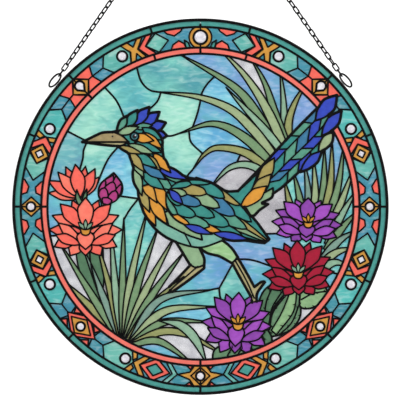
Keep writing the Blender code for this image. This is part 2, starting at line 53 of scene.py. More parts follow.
# Glasses: main tone and second tone in sRGB, how strongly they mix, and the surface if it isn't plain
glasses = {
    "ringTeal": ((78, 165, 155), (62, 145, 140), 0.7),
    "ringCoral": ((250, 125, 110), (240, 112, 100), 0.6),
    "coral": ((255, 112, 95), (238, 98, 86), 0.7),
    "coralLight": ((255, 135, 112), (250, 115, 98), 0.7),
    "gold": ((222, 162, 66), (205, 142, 52), 0.7),
    "amber": ((228, 160, 55), (212, 142, 48), 0.7),
    "tealBlue": ((62, 148, 162), (72, 150, 176), 0.9, "ripple"),
    "panelAqua": ((118, 195, 180), (92, 180, 172), 0.9, "ripple"),
    "panelTurquoise": ((92, 196, 190), (78, 180, 176), 0.9, "ripple"),
    "stone": ((250, 247, 252), (226, 222, 232), 1.0, "stone"),
    "skyMint": ((168, 228, 208), (120, 200, 192), 1.0, "ripple"),
    "skyAqua": ((134, 216, 204), (96, 184, 190), 1.0, "ripple"),
    "skyTeal": ((126, 206, 194), (80, 162, 172), 1.0, "ripple"),
    "skyLight": ((142, 218, 230), (100, 176, 216), 1.0, "ripple"),
    "skyDusk": ((112, 186, 190), (104, 160, 196), 1.0, "ripple"),
    "skyBlue": ((106, 162, 212), (112, 200, 206), 1.0, "ripple"),
    "skyPeriwinkle": ((130, 164, 218), (112, 178, 208), 1.0, "ripple"),
    "pearl": ((222, 222, 225), (186, 186, 193), 1.0, "marble"),
    "smoke": ((196, 194, 198), (172, 170, 175), 1.0, "marble"),
    "leafGreen": ((128, 160, 118), (112, 148, 108), 0.8),
    "leafPale": ((168, 186, 142), (152, 172, 128), 0.8),
    "leafMint": ((152, 190, 160), (136, 174, 148), 0.8),
    "leafOlive": ((160, 165, 106), (146, 152, 96), 0.8),
    "leafBlue": ((135, 168, 152), (118, 152, 140), 0.8),
    "cactus": ((110, 150, 112), (92, 132, 98), 0.9),
    "cactusDark": ((88, 130, 96), (76, 116, 86), 0.9),
    "cactusLight": ((150, 190, 138), (130, 170, 122), 0.9),
    "purple": ((170, 82, 198), (152, 66, 180), 0.7),
    "violet": ((150, 70, 180), (132, 58, 162), 0.7),
    "magenta": ((190, 62, 136), (168, 48, 120), 0.7),
    "crimson": ((176, 0, 50), (154, 0, 42), 0.7),
    "cobalt": ((50, 75, 195), (42, 60, 172), 0.6),
    "steel": ((62, 128, 168), (50, 112, 152), 0.7),
    "featherTeal": ((58, 150, 140), (44, 132, 126), 0.8),
    "featherGreen": ((95, 165, 140), (80, 148, 126), 0.8),
    "featherSage": ((150, 184, 142), (134, 168, 128), 0.8),
    "featherMint": ((130, 188, 168), (112, 170, 154), 0.8),
    "featherOlive": ((178, 162, 94), (162, 146, 82), 0.8),
    "thigh": ((160, 205, 145), (140, 186, 130), 1.0, "ripple"),
    "bill": ((172, 154, 108), (150, 132, 92), 0.8),
    "shank": ((190, 180, 132), (168, 158, 112), 0.8),
    "iris": ((60, 130, 140), (44, 108, 120), 0.8),
    "pupil": ((10, 14, 18), (6, 8, 10), 0.5),
}

print("drawing the design")
layers = []  # one row for each shape, lower ones first: part, glass, outline, line
lines = []  # lead lines inside shapes: part, points, line


def polar(clock, radius):  # clock angles are in degrees from the top
    return radius * complex(math.sin(math.radians(clock)), math.cos(math.radians(clock)))


def smooth(points):  # a curve through the points
    if len(points) < 3:
        return list(points)
    knots = [2 * points[0] - points[1], *points, 2 * points[-1] - points[-2]]
    found = []
    for a, b, c, d in zip(knots, knots[1:], knots[2:], knots[3:]):
        count = max(1, round(abs(c - b) / panel["step"]))
        for k in range(count):
            t = k / count
            bent = (2 * a - 5 * b + 4 * c - d) * t * t + (3 * b - a - 3 * c + d) * t ** 3
            found.append(b + ((c - a) * t + bent) / 2)
    return [*found, points[-1]]


def outline(*runs):  # smooth runs that meet at sharp corners
    return [p for run in runs for p in smooth(run)[:-1]]


def shape(*runs):  # the same, where each run sets out from the end of the one before
    return outline(*([before[-1], *run] for before, run in zip((runs[-1], *runs), runs)))


def add(part, glass, points, line="plain"):
    layers.append((part, glass, points, line))


def addLine(part, points, line="plain"):
    lines.append((part, smooth(points), line))


def circle(centre, radius):
    sides = max(16, round(2 * math.pi * radius / panel["step"]))
    return [centre + polar(-360 * i / sides, radius) for i in range(sides)]


def arc(start, end, radius):
    count = max(1, round(abs(math.radians(end - start)) * radius / panel["step"]))
    return [polar(start + (end - start) * i / count, radius) for i in range(count + 1)]


def band(start, end, inner, outer):
    return arc(start, end, inner) + arc(end, start, outer)


def blade(spine, width):  # a long leaf that tapers to its tip
    middle = smooth(spine)
    left, right = [], []
    for i, p in enumerate(middle):
        t = i / (len(middle) - 1)
        way = middle[min(i + 1, len(middle) - 1)] - middle[max(i - 1, 0)]
        half = width / 2 * (0.55 + 0.45 * math.sin(min(1, t / 0.4) * math.pi / 2)) * (1 - t ** 2.2)
        side = 1j * way / abs(way) * half
        left.append(p + side)
        right.append(p - side)
    return left + right[-2::-1]


def petal(base, tip, width, swell=0.6):  # a pointed oval that is widest at the share swell
    along = tip - base
    half = 1j * along / abs(along) * width / 2
    left = [base, base + along * swell * 0.45 + half * 0.72, base + along * swell + half,
            base + along * (swell + 1) / 2 + half * 0.62, tip]
    right = [2 * (base + along * ((p - base) / along).real) - p for p in left]
    return outline(left, right[::-1])


def evenly(points, count=60):  # the same curve, with points at equal steps
    curve = smooth(points)
    lengths = [0.0]
    for a, b in zip(curve, curve[1:]):
        lengths.append(lengths[-1] + abs(b - a))
    found, k = [], 0
    for i in range(count + 1):
        want = lengths[-1] * i / count
        while k < len(curve) - 2 and lengths[k + 1] < want:
            k += 1
        share = (want - lengths[k]) / max(lengths[k + 1] - lengths[k], 1e-9)
        found.append(curve[k] + (curve[k + 1] - curve[k]) * share)
    return found


def between(first, second):  # a patch between two edges, as a function of shares across and along
    one, two = evenly(first), evenly(second)

    def at(u, v):
        place = min(max(v, 0), 1) * (len(one) - 1)
        k = min(int(place), len(one) - 2)
        a = one[k] + (one[k + 1] - one[k]) * (place - k)
        b = two[k] + (two[k + 1] - two[k]) * (place - k)
        return a + (b - a) * min(max(u, 0), 1)

    return at


def feather(at, u, v, wide, long, blunt=0.3):  # on a patch, its root at v and its tip towards larger v
    left = [(-0.5, 0), (-0.53, 0.4), (-blunt, 0.82), (0, 1)]
    points = [at(u + x * wide, v + y * long) for x, y in left]
    back = [at(u - x * wide, v + y * long) for x, y in left]
    return outline(points, back[::-1], [back[0], points[0]])


def plumage(part, at, rows, glassList, blunt=0.3):  # rows of feathers: along, count, length and shift
    order = 0
    for v, count, long, shift in rows:
        for i in range(count + (1 if shift else 0)):
            u = (i + (0 if shift else 0.5)) / count
            add(part, glassList[order % len(glassList)], feather(at, u, v, 1 / count, long, blunt), "thin")
            order += 1


def strip(at, u0, u1, v0, v1, lean=0):  # a four-sided piece of a patch, its ends leaning
    count = 8
    first = [at(u0, v0 + lean + (v1 - v0) * i / count) for i in range(count + 1)]
    second = [at(u1, v0 + (v1 - v0) * i / count) for i in range(count + 1)]
    return first + second[::-1]


flowerPetals = [  # root, tip and width, in shares of a flower's half width and height, on both sides
    ((0, 0), (0.4, 0.95), 0.34), ((0, 0), (1.0, 0.45), 0.36), ((0, 0), (0.76, 0.82), 0.42),
    ((0, 0), (0, 1.03), 0.48), ((0.05, -0.1), (1.1, -0.02), 0.36), ((0.1, -0.3), (0.46, -1.2), 0.4),
    ((0.1, -0.2), (0.94, -0.8), 0.4), ((0, -0.3), (0, -1.2), 0.38), ((0.1, -0.6), (0.82, 0.2), 0.3),
    ((0.14, -0.7), (0.9, -0.26), 0.3), ((0, -0.92), (0, 0.02), 0.52),
]


def flower(part, centre, wide, up, down, glassList, turn=0):  # an open flower, its far petals first
    order, lean = 0, cmath.rect(1, math.radians(-turn))
    for root, tip, width in flowerPetals:
        for side in (1, -1) if tip[0] else (1,):
            ends = [complex(side * x * wide, y * (up if y > 0 else down)) * lean for x, y in (root, tip)]
            plan = petal(centre + ends[0], centre + ends[1], width * wide, 0.62)
            add(part, glassList[order // 2 % len(glassList)], plan, "thin")
            order += 1


def feathers(part, rows, line="thin", swell=0.5):  # single feathers: glass, width, root and tip
    for glass, width, (root, tip) in rows:
        add(part, glass, petal(root, tip, width, swell), line)


# The picture: sky first, then the plants, the flowers and the bird
add("sky", "sky", circle(0, panel["pictureRadius"] + 2))
skyLines = [
    [-51.5+114.5j, -47.5+100.5j, -40.5+93j, -31+91j], [-31.5+91j, -34+84.5j, -38.5+79.5j, -46+74j],
    [-78+97j, -66+83j, -58+63j], [-111.5+63j, -86.5+50j], [-90+52.5j, -93+45j, -94+37j, -99.5+19.5j],
    [-62+51.5j, -74+37j, -84+13.5j], [-72+9.5j, -46.5+6j], [-46.5+10j, -56-2j, -61-10.5j],
    [13.5+106j, 4.5+96.5j, -0.5+87j], [1.5+91.5j, -2+75.5j, -6.5+62.5j],
    [-32.5+58j, -27.5+56.5j, -22.5+56.5j, -16.5+58.5j], [-9+61j, -7.5+51.5j, 2+42j],
    [-6.5+29j, -10+25j, -13+18j], [36.5+47j, 31+39.5j, 27.5+31j], [28.5-40.5j, 15-65j],
    [15-65j, 9.5-66j, 3.5-68j], [15-65j, 16.5-74j, 25-86.5j], [26-42j, 41-42.5j, 60.5-49j],
    [45-22j, 72.5-21j], [95.5-50.5j, 125-57j], [-122-23.5j, -99.5-22j], [-0.5-91.5j, 19-89j],
]
for run in skyLines:
    addLine("sky", run)
skyPlaces = {
    "skyAqua": [-58+95j, -40.5-20.5j, 9.5-71.5j, -0.5-73j, 115.5-20.5j, 116.5+2j, 77+11.5j, 105-44.5j],
    "skyTeal": [-28.5+105j, -82.5+9.5j, 27.5-62.5j, 116.5+21.5j],
    "skyMint": [-16.5+75.5j, -84+39j, -64-8j, -18+43.5j],
    "skyBlue": [19.5+75j, -115.5+1.5j, -2-55.5j, 43.5-52.5j, -40.5-114.5j, 94+29j, 85+19.5j, 115.5-42.5j,
                107.5-62.5j],
    "skyLight": [22+87j, -62.5+27.5j, -0.5-86j, 11+53j],
    "skyPeriwinkle": [12+110j, 71+89j, 49-34.5j, 17.5+34j, 101+33j],
    "skyDusk": [-104+45j],
    "pearl": [31.5+112.5j, -102.5-39.5j, -19.5-38j, -16.5-106.5j, -0.5-98.5j, 67.5-110.5j],
    "smoke": [-66.5-31.5j, 65+9.5j, 28.5+21.5j, 39.5+43.5j],
}

upperAgave = [  # from the back to the front: glass, width and spine from the root to the tip
    ("leafMint", 6.6, [72.5+37j, 67.5+63j, 66+87j, 63.5+110.5j]),
    ("leafOlive", 7.2, [71.5+39j, 70+64.5j, 75+82j, 85+99.5j]),
    ("leafGreen", 7.6, [75+31j, 60.5+71j, 51.5+98j, 39+120.5j]),
    ("leafGreen", 8.6, [71.5+29j, 49+67.5j, 27.5+95j, -18+122.5j]),
    ("leafPale", 8.2, [73+32.5j, 54+75.5j, 35.5+104.5j, 12.5+128.5j]),
    ("leafMint", 7.4, [70+35.5j, 60.5+50j, 47+66j, 33+81j, 20.5+95j]),
    ("leafPale", 8.4, [67+27.5j, 52.5+48.5j, 40.5+63j, 23.5+78j, -2+87.5j, -34.5+91.5j]),
    ("leafGreen", 8.4, [65+24.5j, 38+53j, 11+66j, -18+58j]),
    ("leafOlive", 7.4, [62+23j, 38+42j, 15.5+47j, 3.5+42j, -6.5+29j]),
    ("leafMint", 6.6, [60.5+19.5j, 41+32.5j, 23.5+31j, 7.5+15j]),
]
rightAgave = [
    ("leafOlive", [79.5-20.5j, 71.5+1.5j, 67+21.5j]), ("leafGreen", [83-20.5j, 79+7j, 74+28.5j]),
    ("leafBlue", [86-20.5j, 86+9.5j, 83+35.5j]), ("leafPale", [89-20.5j, 91.5+9.5j, 90+40.5j]),
    ("leafGreen", [92.5-20.5j, 98+13.5j, 99+48.5j]), ("leafOlive", [95-20.5j, 103.5+17.5j, 105+54j]),
    ("leafGreen", [97-22j, 109+13.5j, 114.5+50j]), ("leafPale", [99.5-25j, 113+5.5j, 122+31j]),
    ("leafMint", [100.5-30j, 113-6j, 125+14j]), ("leafGreen", [99.5-34.5j, 113-17j, 126-2.5j]),
    ("leafBlue", [97-41j, 111.5-26.5j, 125-18.5j]), ("leafPale", [95.5-46j, 108.5-36.5j, 122-32.5j]),
    ("leafMint", [94-52.5j, 106.5-44.5j, 119.5-47.5j]),
]
lowerAgave = [
    ("leafGreen", 5.6, [-66-108j, -82-94j, -101-74.5j]),
    ("leafOlive", 7.6, [-65-106.5j, -83.5-84j, -110-58j]),
    ("leafGreen", 6.8, [-64-106.5j, -85-73j, -113-27.5j]),
    ("leafBlue", 6.8, [-63.5-106.5j, -77-73j, -94-31.5j]),
    ("leafOlive", 6.4, [-63.5-106j, -72-66.5j, -83.5-24.5j]),
    ("leafMint", 6.8, [-62.5-105j, -68-62.5j, -71.5-14j]), ("leafGreen", 6.6, [-62-105j, -62-62.5j, -61-9j]),
    ("leafPale", 7.0, [-61-105j, -55.5-58.5j, -42-1j]), ("leafGreen", 7.2, [-60-105j, -50-62.5j, -33-14.5j]),
    ("leafPale", 7.2, [-59.5-105j, -43.5-66.5j, -19.5-22j]),
    ("leafGreen", 7.2, [-58.5-106j, -39.5-72j, -11.5-34j]),
    ("leafOlive", 6.2, [-58-106.5j, -37-77j, -13-55.5j]),
    ("leafBlue", 7.0, [-56-107.5j, -32.5-74.5j, 10-66j]),
    ("leafPale", 7.6, [-55.5-108j, -28.5-83.5j, 12.5-79.5j]),
    ("leafGreen", 6.4, [-55.5-109j, -28.5-92j, 9.5-92j]),
    ("leafOlive", 6.6, [-54.5-109j, -30.5-99.5j, -10-102j, 6-110.5j, 20.5-119.5j]),
    ("leafGreen", 6.4, [-54.5-110j, -32.5-107.5j, -5-126j]),
]
for glass, width, spine in upperAgave:
    add("leaves", glass, blade(spine, width), "thin")
for glass, spine in rightAgave:
    add("leaves", glass, blade(spine, 7), "thin")

shanks = {
    "birdLegLeft": [[-16.5-55.5j, -26-65j], [-22.5-68j], [-8.5-58j, 3-49j], [2-44.5j, -7.5-46j]],
    "birdLegRight": [[32.5-58j, 40.5-72j], [42-82j], [46-82j], [45-70j, 51.5-60j], [48.5-60j, 43-64j],
                     [37-53j, 30-41j], [24.5-43.5j]],
}
for part, runs in shanks.items():
    add(part, "shank", shape(*runs), "bold")
addLine("birdLegRight", [27.5-42.5j, 36.5-58.5j, 43-73j], "thin")
addLine("birdLegLeft", [-2-47.5j, -13-57j, -24.5-66.5j], "thin")
add("leaves", "cactusDark", shape([-98-44.5j, -91.5-66.5j], [-80-87.5j], [-77-58.5j, -78-23.5j],
    [-99.5-23.5j]), "thin")
addLine("leaves", [-88-25j, -87.5-44.5j, -82-66.5j], "thin")
for glass, width, spine in lowerAgave:
    add("leaves", glass, blade(spine, width), "thin")
add("leaves", "leafMint", shape([-14.5-91.5j, -1-104j, 5.5-126j], [-6.5-108j, -18-97j, -34-90.5j]), "thin")
add("birdLegLeft", "featherSage", shape([-15.5-34.5j, -8.5-46j], [-3.5-48.5j, 3-46.5j],
    [3-41j, -0.5-33j, -2-25j], [-22.5-23.5j]), "bold")
add("birdLegRight", "thigh", shape([-4.5-28.5j, 4.5-36.5j, 15-39.5j, 25-45j], [30-40.5j],
    [24.5-32.5j, 15-24.5j, 6-15.5j], [-10-17j]), "bold")

pads = [  # cactus pads: part, glass, lower and upper edge, ribs
    ("cactusRight", "cactusDark",
     [49-92j, 46-79.5j, 51-66.5j, 61-61j, 73-63.5j], [73-63.5j, 76.5-74.5j, 68.5-92j, 54-102j, 49-92j],
     [[55.5-97j, 57-81j, 67-65j], [51-89j, 52.5-76j, 57-65j]]),
    ("cactusRight", "cactus",
     [54-100j, 57-84j, 67-70j, 78-64j, 79.5-74.5j], [79.5-74.5j, 79.5-87.5j, 71.5-98.5j, 57-103.5j, 54-100j],
     [[55-98j, 58-84j, 67.5-71.5j], [63-102j, 73-92j, 79-77j]]),
    ("cactusRight", "cactusLight",
     [79.5-68j, 87.5-62.5j, 97-62j, 102-68j], [102-68j, 97-76j, 87.5-81j, 79.5-79.5j, 79.5-68j],
     [[80.5-74j, 90-69j, 101-67.5j]]),
    ("cactusLower", "cactusDark",
     [39.5-116j, 41-105j, 47.5-98.5j, 54-98.5j], [54-98.5j, 57-105j, 55.5-114.5j, 49-124j, 39.5-116j],
     [[47.5-99.5j, 51-108j, 46-119.5j]]),
    ("cactusLower", "cactus",
     [9.5-124j, 11-114.5j, 19-110j, 31.5-110j, 41-113j],
     [41-113j, 43-122.5j, 31.5-127.5j, 17.5-129j, 9.5-124j],
     [[20.5-127.5j, 22-118j, 27-110.5j], [31.5-127.5j, 30-118j, 35-111.5j]]),
]
add("cactusRight", "cactus", circle(80.5-66j, 6))
add("cactusLower", "cactus", circle(30-109j, 6))
thorns = []  # of wire, on the ribs and edges of the pads: root and tip
thorn = {"onRib": 1.7+1.5j, "onEdge": 0.7-2j, "width": 1.2, "taper": 0.3}  # reach along and across the line


def addThorn(run, k, reach):
    way = run[k] - run[k - 1]
    thorns.append((run[k], run[k] + way / abs(way) * reach))


for part, glass, first, second, ribs in pads:
    add(part, glass, outline(first, second))
    for rib in ribs:
        addLine(part, rib, "thin")
        for k in (2, 4, 6):
            addThorn(evenly(rib, 7), k, thorn["onRib"] if k % 4 else thorn["onRib"].conjugate())
    for k in (3, 5, 7, 9):
        addThorn(evenly(second, 12), k, thorn["onEdge"])

add("cactusRight", "cactusLight", shape([64.5-85j, 71.5-68j], [77-66j], [74-84j, 60.5-102j], [56.5-98.5j]),
    "thin")

for clock, reach, width, glass in (
    (-26, 27, 9, "coral"), (9, 25, 8.5, "coral"), (-82, 26, 8, "coralLight"), (-63, 29, 10, "coral"),
    (43, 22, 8, "coralLight"), (-42, 27, 9.5, "coralLight"), (27, 25.5, 9.5, "coral"),
    (-9, 26.5, 11.5, "coral"),
):
    add("flowerCoralUpper", glass, petal(-95.5+7j, -95.5+7.5j + polar(clock, reach), width, 0.55), "thin")
add("flowerCoralUpper", "cactus", shape([-96+7.5j, -94.5+4.5j], [-93+9.5j, -90.5+14j], [-90.5+7j, -93-1j],
    [-97+0.5j], [-99.5+7j, -98.5+13.5j]), "thin")
add("flowerBud", "cactus", shape([-78-1j, -74-5j], [-71.5+1.5j, -70.5+6j], [-79.5+6j]), "thin")
budPatch = between([-77+2j, -81+9.5j, -79.5+18j, -70+26j], [-74+1.5j, -66+6j, -62.5+16.5j, -66.5+25j])
add("flowerBud", "magenta", shape([-81+8.5j, -79.5+18j, -69+27j], [-62.5+18j, -64+8.5j, -76+1.5j]))
budRows = [(0.6, 2, 0.38, 0), (0.38, 2, 0.36, 1), (0.14, 2, 0.38, 0), (-0.06, 1, 0.34, 0)]
plumage("flowerBud", budPatch, budRows, ["magenta"])
flower("flowerCoralLower", -91.5-18j, 26.5, 24.5, 17.5, ["coral", "coralLight"])
flower("flowerPurpleRight", 85-13j, 25.5, 19.5, 12.5, ["purple", "violet"], 3)
flower("flowerCrimson", 78-52.5j, 26, 25, 15, ["crimson"], -2)
flower("flowerPurpleLower", 29-93j, 25.5, 24, 20, ["violet", "purple"], 4)
for part, centre, size in (("flowerCoralLower", -91.5-18.5j, 4.4), ("flowerPurpleRight", 86-13j, 4.0),
                           ("flowerCrimson", 78-53j, 4.4), ("flowerPurpleLower", 30-94j, 4.6)):
    crown = "leafMint" if part in ("flowerCoralLower", "flowerCrimson") else "amber"
    for clock in (-44, 44, 0):
        add(part, crown, petal(centre, centre + polar(clock, size * 1.9), size * 0.7), "fine")
    cup = [[centre + size * z for z in run] for run in ([0.05j, 1+0.3j], [0.7-0.7j, -1j, -0.7-0.7j, -1+0.3j])]
    add(part, "amber", shape(*cup), "thin")

print("drawing the border")
borderDepth = panel["ringInner"] - panel["borderInner"]


def border(clock, share):
    return polar(clock, panel["borderInner"] + share * borderDepth)


def single(glass, *points):
    add("border", glass, [border(*point) for point in points], "thin")


def tile(glass, *points, mirror=None):  # on both sides, and again beyond a mirror angle
    spots = [points]
    if mirror is not None:
        spots.append([(2 * mirror - clock, share) for clock, share in points])
    for spot in spots:
        single(glass, *spot)
        single(glass, *((-clock, share) for clock, share in spot))


def twin(glass, *points, mirror=None):  # at both edges of the border
    tile(glass, *points, mirror=mirror)
    tile(glass, *((clock, 1 - share) for clock, share in points), mirror=mirror)


add("border", "tealBlue", band(0, 180, panel["borderInner"], panel["ringInner"] + 2), "ring")
add("border", "tealBlue", band(180, 360, panel["borderInner"], panel["ringInner"] + 2), "ring")
tile("coral", (5, 1.15), (6.4, 0.84), (8.7, 0.66), (11, 0.82), (12.6, 1.15))
tile("coral", (4.8, -0.15), (5.6, 0.22), (7.4, 0.4), (9.6, 0.25), (11.3, -0.15))
tile("ringTeal", (3.2, -0.15), (4.2, 0.26), (5.5, 0.4), (5.3, 0.14), (4.8, -0.15))
tile("panelAqua", (14.6, 0.97), (18.8, 0.5), (14.9, 0.03), (10.9, 0.5))
tile("coral", (15, 1.1), (17, 1.1), (21.4, 0.5), (18.2, -0.1), (15.2, -0.1), (18.9, 0.5))
tile("gold", (18.4, 1.1), (20.2, 1.1), (22.9, 0.68), (24.6, 1.1), (26.8, 1.02), (24.3, 0.5), (26, -0.1),
     (24.2, -0.1), (22.6, 0.32), (21, -0.1), (19.2, -0.1), (21.7, 0.5))
tile("panelAqua", (24.5, 0.5), (26.9, 1.1), (32.2, 1.1), (35.1, 0.5), (32.1, -0.1), (26.1, -0.1))
twin("tealBlue", (32.2, 1.1), (38, 1.1), (39.6, 0.5), (35.1, 0.5), mirror=45)
twin("coral", (38, 1.1), (45.2, 1.1), (41.3, 0.5), (39.6, 0.5), mirror=45)
tile("gold", (41.3, 0.5), (45, 1.02), (48.7, 0.5), (45, -0.02))
tile("panelTurquoise", (54.9, 0.5), (58, 1.1), (65, 1.1), (66.4, 0.5), (65, -0.1), (58, -0.1), mirror=90)
twin("gold", (64.4, 1.1), (66.2, 1.1), (66.9, 0.74), (65.6, 0.58), mirror=90)
tile("coral", (65.6, 0.5), (69.4, 1.1), (71.6, 1.1), (68.3, 0.5), (71.6, -0.1), (69.4, -0.1), mirror=90)
tile("panelAqua", (71.6, 1.1), (76.3, 1.1), (81, 0.5), (76.3, -0.1), (71.6, -0.1), (75.2, 0.5), mirror=90)
tile("gold", (68.4, 0.5), (71.8, 0.96), (75.2, 0.5), (71.8, 0.04), mirror=90)
tile("stone", (70.3, 0.5), (71.8, 0.71), (73.3, 0.5), (71.8, 0.29), mirror=90)
twin("coral", (80.7, 1.1), (81.2, 0.9), (83.3, 0.66), (85.3, 0.72), (86.4, 1.1), mirror=90)
tile("gold", (86.7, 0.5), (90, 1.02), (93.3, 0.5), (90, -0.02))
twin("tealBlue", (122, 1.1), (128.4, 1.1), (129.6, 0.5), (125.1, 0.5), mirror=135)
twin("coral", (128.4, 1.1), (133, 1.1), (130, 0.72), mirror=135)
tile("coral", (128.4, 0.5), (135, 1.14), (141.6, 0.5), (135, -0.14))
tile("gold", (130.4, 0.5), (135, 0.93), (139.6, 0.5), (135, 0.07))
tile("panelAqua", (144.9, 0.5), (148, 1.1), (155, 1.1), (156.6, 0.5), (155, -0.1), (148, -0.1))
twin("gold", (154.4, 1.1), (156.4, 1.1), (157.4, 0.75), (156.2, 0.6))
tile("gold", (156.6, 0.5), (160.4, 1.1), (162.4, 1.1), (158.9, 0.5), (162.4, -0.1), (160.4, -0.1))
tile("coral", (159, 0.5), (164.3, 1.06), (169.6, 0.5), (164.3, -0.06))
tile("ringTeal", (161.4, 0.5), (164.3, 0.8), (167.2, 0.5), (164.3, 0.2))
tile("panelAqua", (167, 1.1), (168.8, 1.1), (172.2, 0.5), (168.8, -0.1), (167, -0.1), (170.4, 0.5))
twin("coral", (174, 1.1), (177.6, 1.1), (176.6, 0.8))
single("gold", (172.2, 0.5), (176.4, 0.68), (178.4, 1.1), (181.6, 1.1), (183.6, 0.68), (187.8, 0.5),
       (183.6, 0.32), (181.6, -0.1), (178.4, -0.1), (176.4, 0.32))
single("gold", (176.8, 0.5), (180, 0.93), (183.2, 0.5), (180, 0.07))
add("border", "gold", circle(border(0, 0.5), 9.0), "thin")
stones = []
for clock, radius in ((0, 5.5), (27.5, 4.1), (62.7, 4.1), (90, 3.6), (117.3, 4.1), (135, 3.5), (153.7, 4.1),
                      (180, 3.5)):
    for side in (1, -1) if clock % 180 else (1,):
        stones.append((border(side * clock, 0.5), radius))
        add("stones", "stone", circle(*stones[-1]), "ring")
for side in (1, -1):  # the drops at the diagonals point to the middle
    centre = border(side * 45, 0.56)
    down = polar(side * 45, -1)
    drop = [centre + polar(-36 * i + side * 45, 3.9) for i in range(-3, 4)]
    add("stones", "stone", shape([centre + down * 5.6], [drop[0]], drop[1:]), "ring")
for clock in (0, 90, -90, 180, 45, -45):
    addLine("border", [border(clock, -0.1), border(clock, 1.1)], "thin")
coralCuts = [0, 17, 90, 180, 270, 315, 343, 360]
for start, end in zip(coralCuts, coralCuts[1:]):
    add("coralRing", "ringCoral", band(start, end, panel["pictureRadius"], panel["borderInner"]), "ring")
outerCuts = [0, 15.6, 45, 67, 90, 114, 135, 180, 225, 246, 270, 293, 315, 344.4, 360]
for start, end in zip(outerCuts, outerCuts[1:]):
    add("outerRing", "ringTeal", band(start, end, panel["ringInner"], panel["glassEdge"] + 1), "ring")

print("drawing the bird")
tailAt = between([28.5+11j, 46+29j, 63+47.5j, 78+63.5j, 92.5+78j, 100.5+85j],
                 [47.5+3.5j, 64.5+15j, 79.5+28.5j, 92.5+39.5j, 102+51j, 104.5+58j])
add("birdTail", "featherTeal", strip(tailAt, 0, 1, 0, 1), "bold")
tailGlass = ["featherGreen", "cobalt", "featherTeal", "featherGreen", "steel", "cobalt"]
tailRows = [(0, 0.22, -0.07), (0.22, 0.52, 0.09), (0.52, 0.76, -0.1), (0.76, 1, 0.08)]
for row, (u0, u1, lean) in enumerate(tailRows):
    for i in range(5):
        v = 0.24 + 0.145 * i + 0.03 * row
        add("birdTail", tailGlass[(i + 2 * row) % 6], strip(tailAt, u0, u1, v, v + 0.145, lean), "thin")
feathers("birdTail", [("leafPale", 8.5, [94+43.5j, 106+59.5j]), ("cobalt", 8, [79.5+27.5j, 97+44.5j]),
    ("cobalt", 9.5, [96.5+56.5j, 112.5+76.5j]), ("cobalt", 11.5, [91.5+68.5j, 109+89j])], "bold", 0.6)
add("birdBack", "featherSage", shape([41-7.5j, 47.5-2.5j, 54+2j], [49+3j, 57+7.5j, 58+15j],
    [41+5.5j, 35+0.5j]), "bold")
add("birdBack", "featherTeal", shape([11+18j, 20.5+12.5j, 30+12.5j], [38+19.5j, 46+27.5j],
    [41+13.5j, 33+0.5j], [17.5+5.5j, -3.5+23j]), "bold")
feathers("birdBack", [("featherOlive", 9.5, [44.5+13.5j, 59+39j]), ("featherOlive", 10, [38+4.5j, 56.5+26j]),
    ("amber", 10, [31.5-1j, 53+16.5j])], swell=0.6)
add("birdBack", "featherGreen", shape([-11.5+23.5j, -0.5+21.5j, 12.5+17.5j],
    [4.5+11.5j, -19.5+11.5j, -27.5+13.5j], [-26+27.5j]), "bold")

add("birdBreast", "featherMint", shape([-47.5+2j, -42-10j, -34-19.5j, -21-27.5j, -0.5-32.5j, 19-26.5j],
    [11-15.5j, -3.5-6j, -19.5+15j, -32.5+24.5j], [-50.5+18j]), "bold")
add("birdBreast", "featherSage", shape([-19.5-2.5j, -10-12.5j], [-0.5-20.5j, 1.5-26.5j],
    [-11.5-22j, -29-13j], [-29-4.5j]))
addLine("birdBreast", [-13-20.5j, -6.5-33j], "thin")
feathers("birdBreast", [("featherOlive", 7.5, [-39.5+3.5j, -25-15.5j]),
    ("amber", 8.5, [-46.5+8.5j, -35.5-15.5j]), ("amber", 9, [-41+8.5j, -26.5-14j]),
    ("amber", 9.5, [-36.5+19.5j, -24.5-4.5j]), ("featherOlive", 7.5, [-49+16.5j, -40.5-4.5j]),
    ("gold", 8, [-47.5+23.5j, -34.5+3j])])

add("birdNeck", "featherTeal", shape([-56+40.5j, -52.5+28.5j, -50.5+15j], [-38.5+18j, -24.5+15j, -6.5+22j],
    [-22.5+28.5j, -28.5+37j, -30.5+47.5j], [-48.5+53j, -65+48.5j]), "bold")
feathers("birdNeck", [("featherSage", 7, [-53+32.5j, -46.5+8.5j]),
    ("featherGreen", 8, [-35.5+23j, -22+13.5j]), ("featherTeal", 8.5, [-47.5+27.5j, -28.5+13.5j]),
    ("featherGreen", 7, [-30+25j, -3.5+19.5j]), ("cobalt", 7.5, [-36.5+32.5j, -10+21.5j]),
    ("steel", 8.5, [-47.5+35j, -27.5+21.5j]), ("featherSage", 7, [-54.5+40.5j, -45+23j]),
    ("amber", 7.5, [-38+43j, -23.5+27j]), ("featherOlive", 7.5, [-46+42j, -31.5+29j]),
    ("featherTeal", 7.5, [-53+43.5j, -34.5+31j]), ("featherOlive", 7, [-57+45j, -44.5+27.5j])])

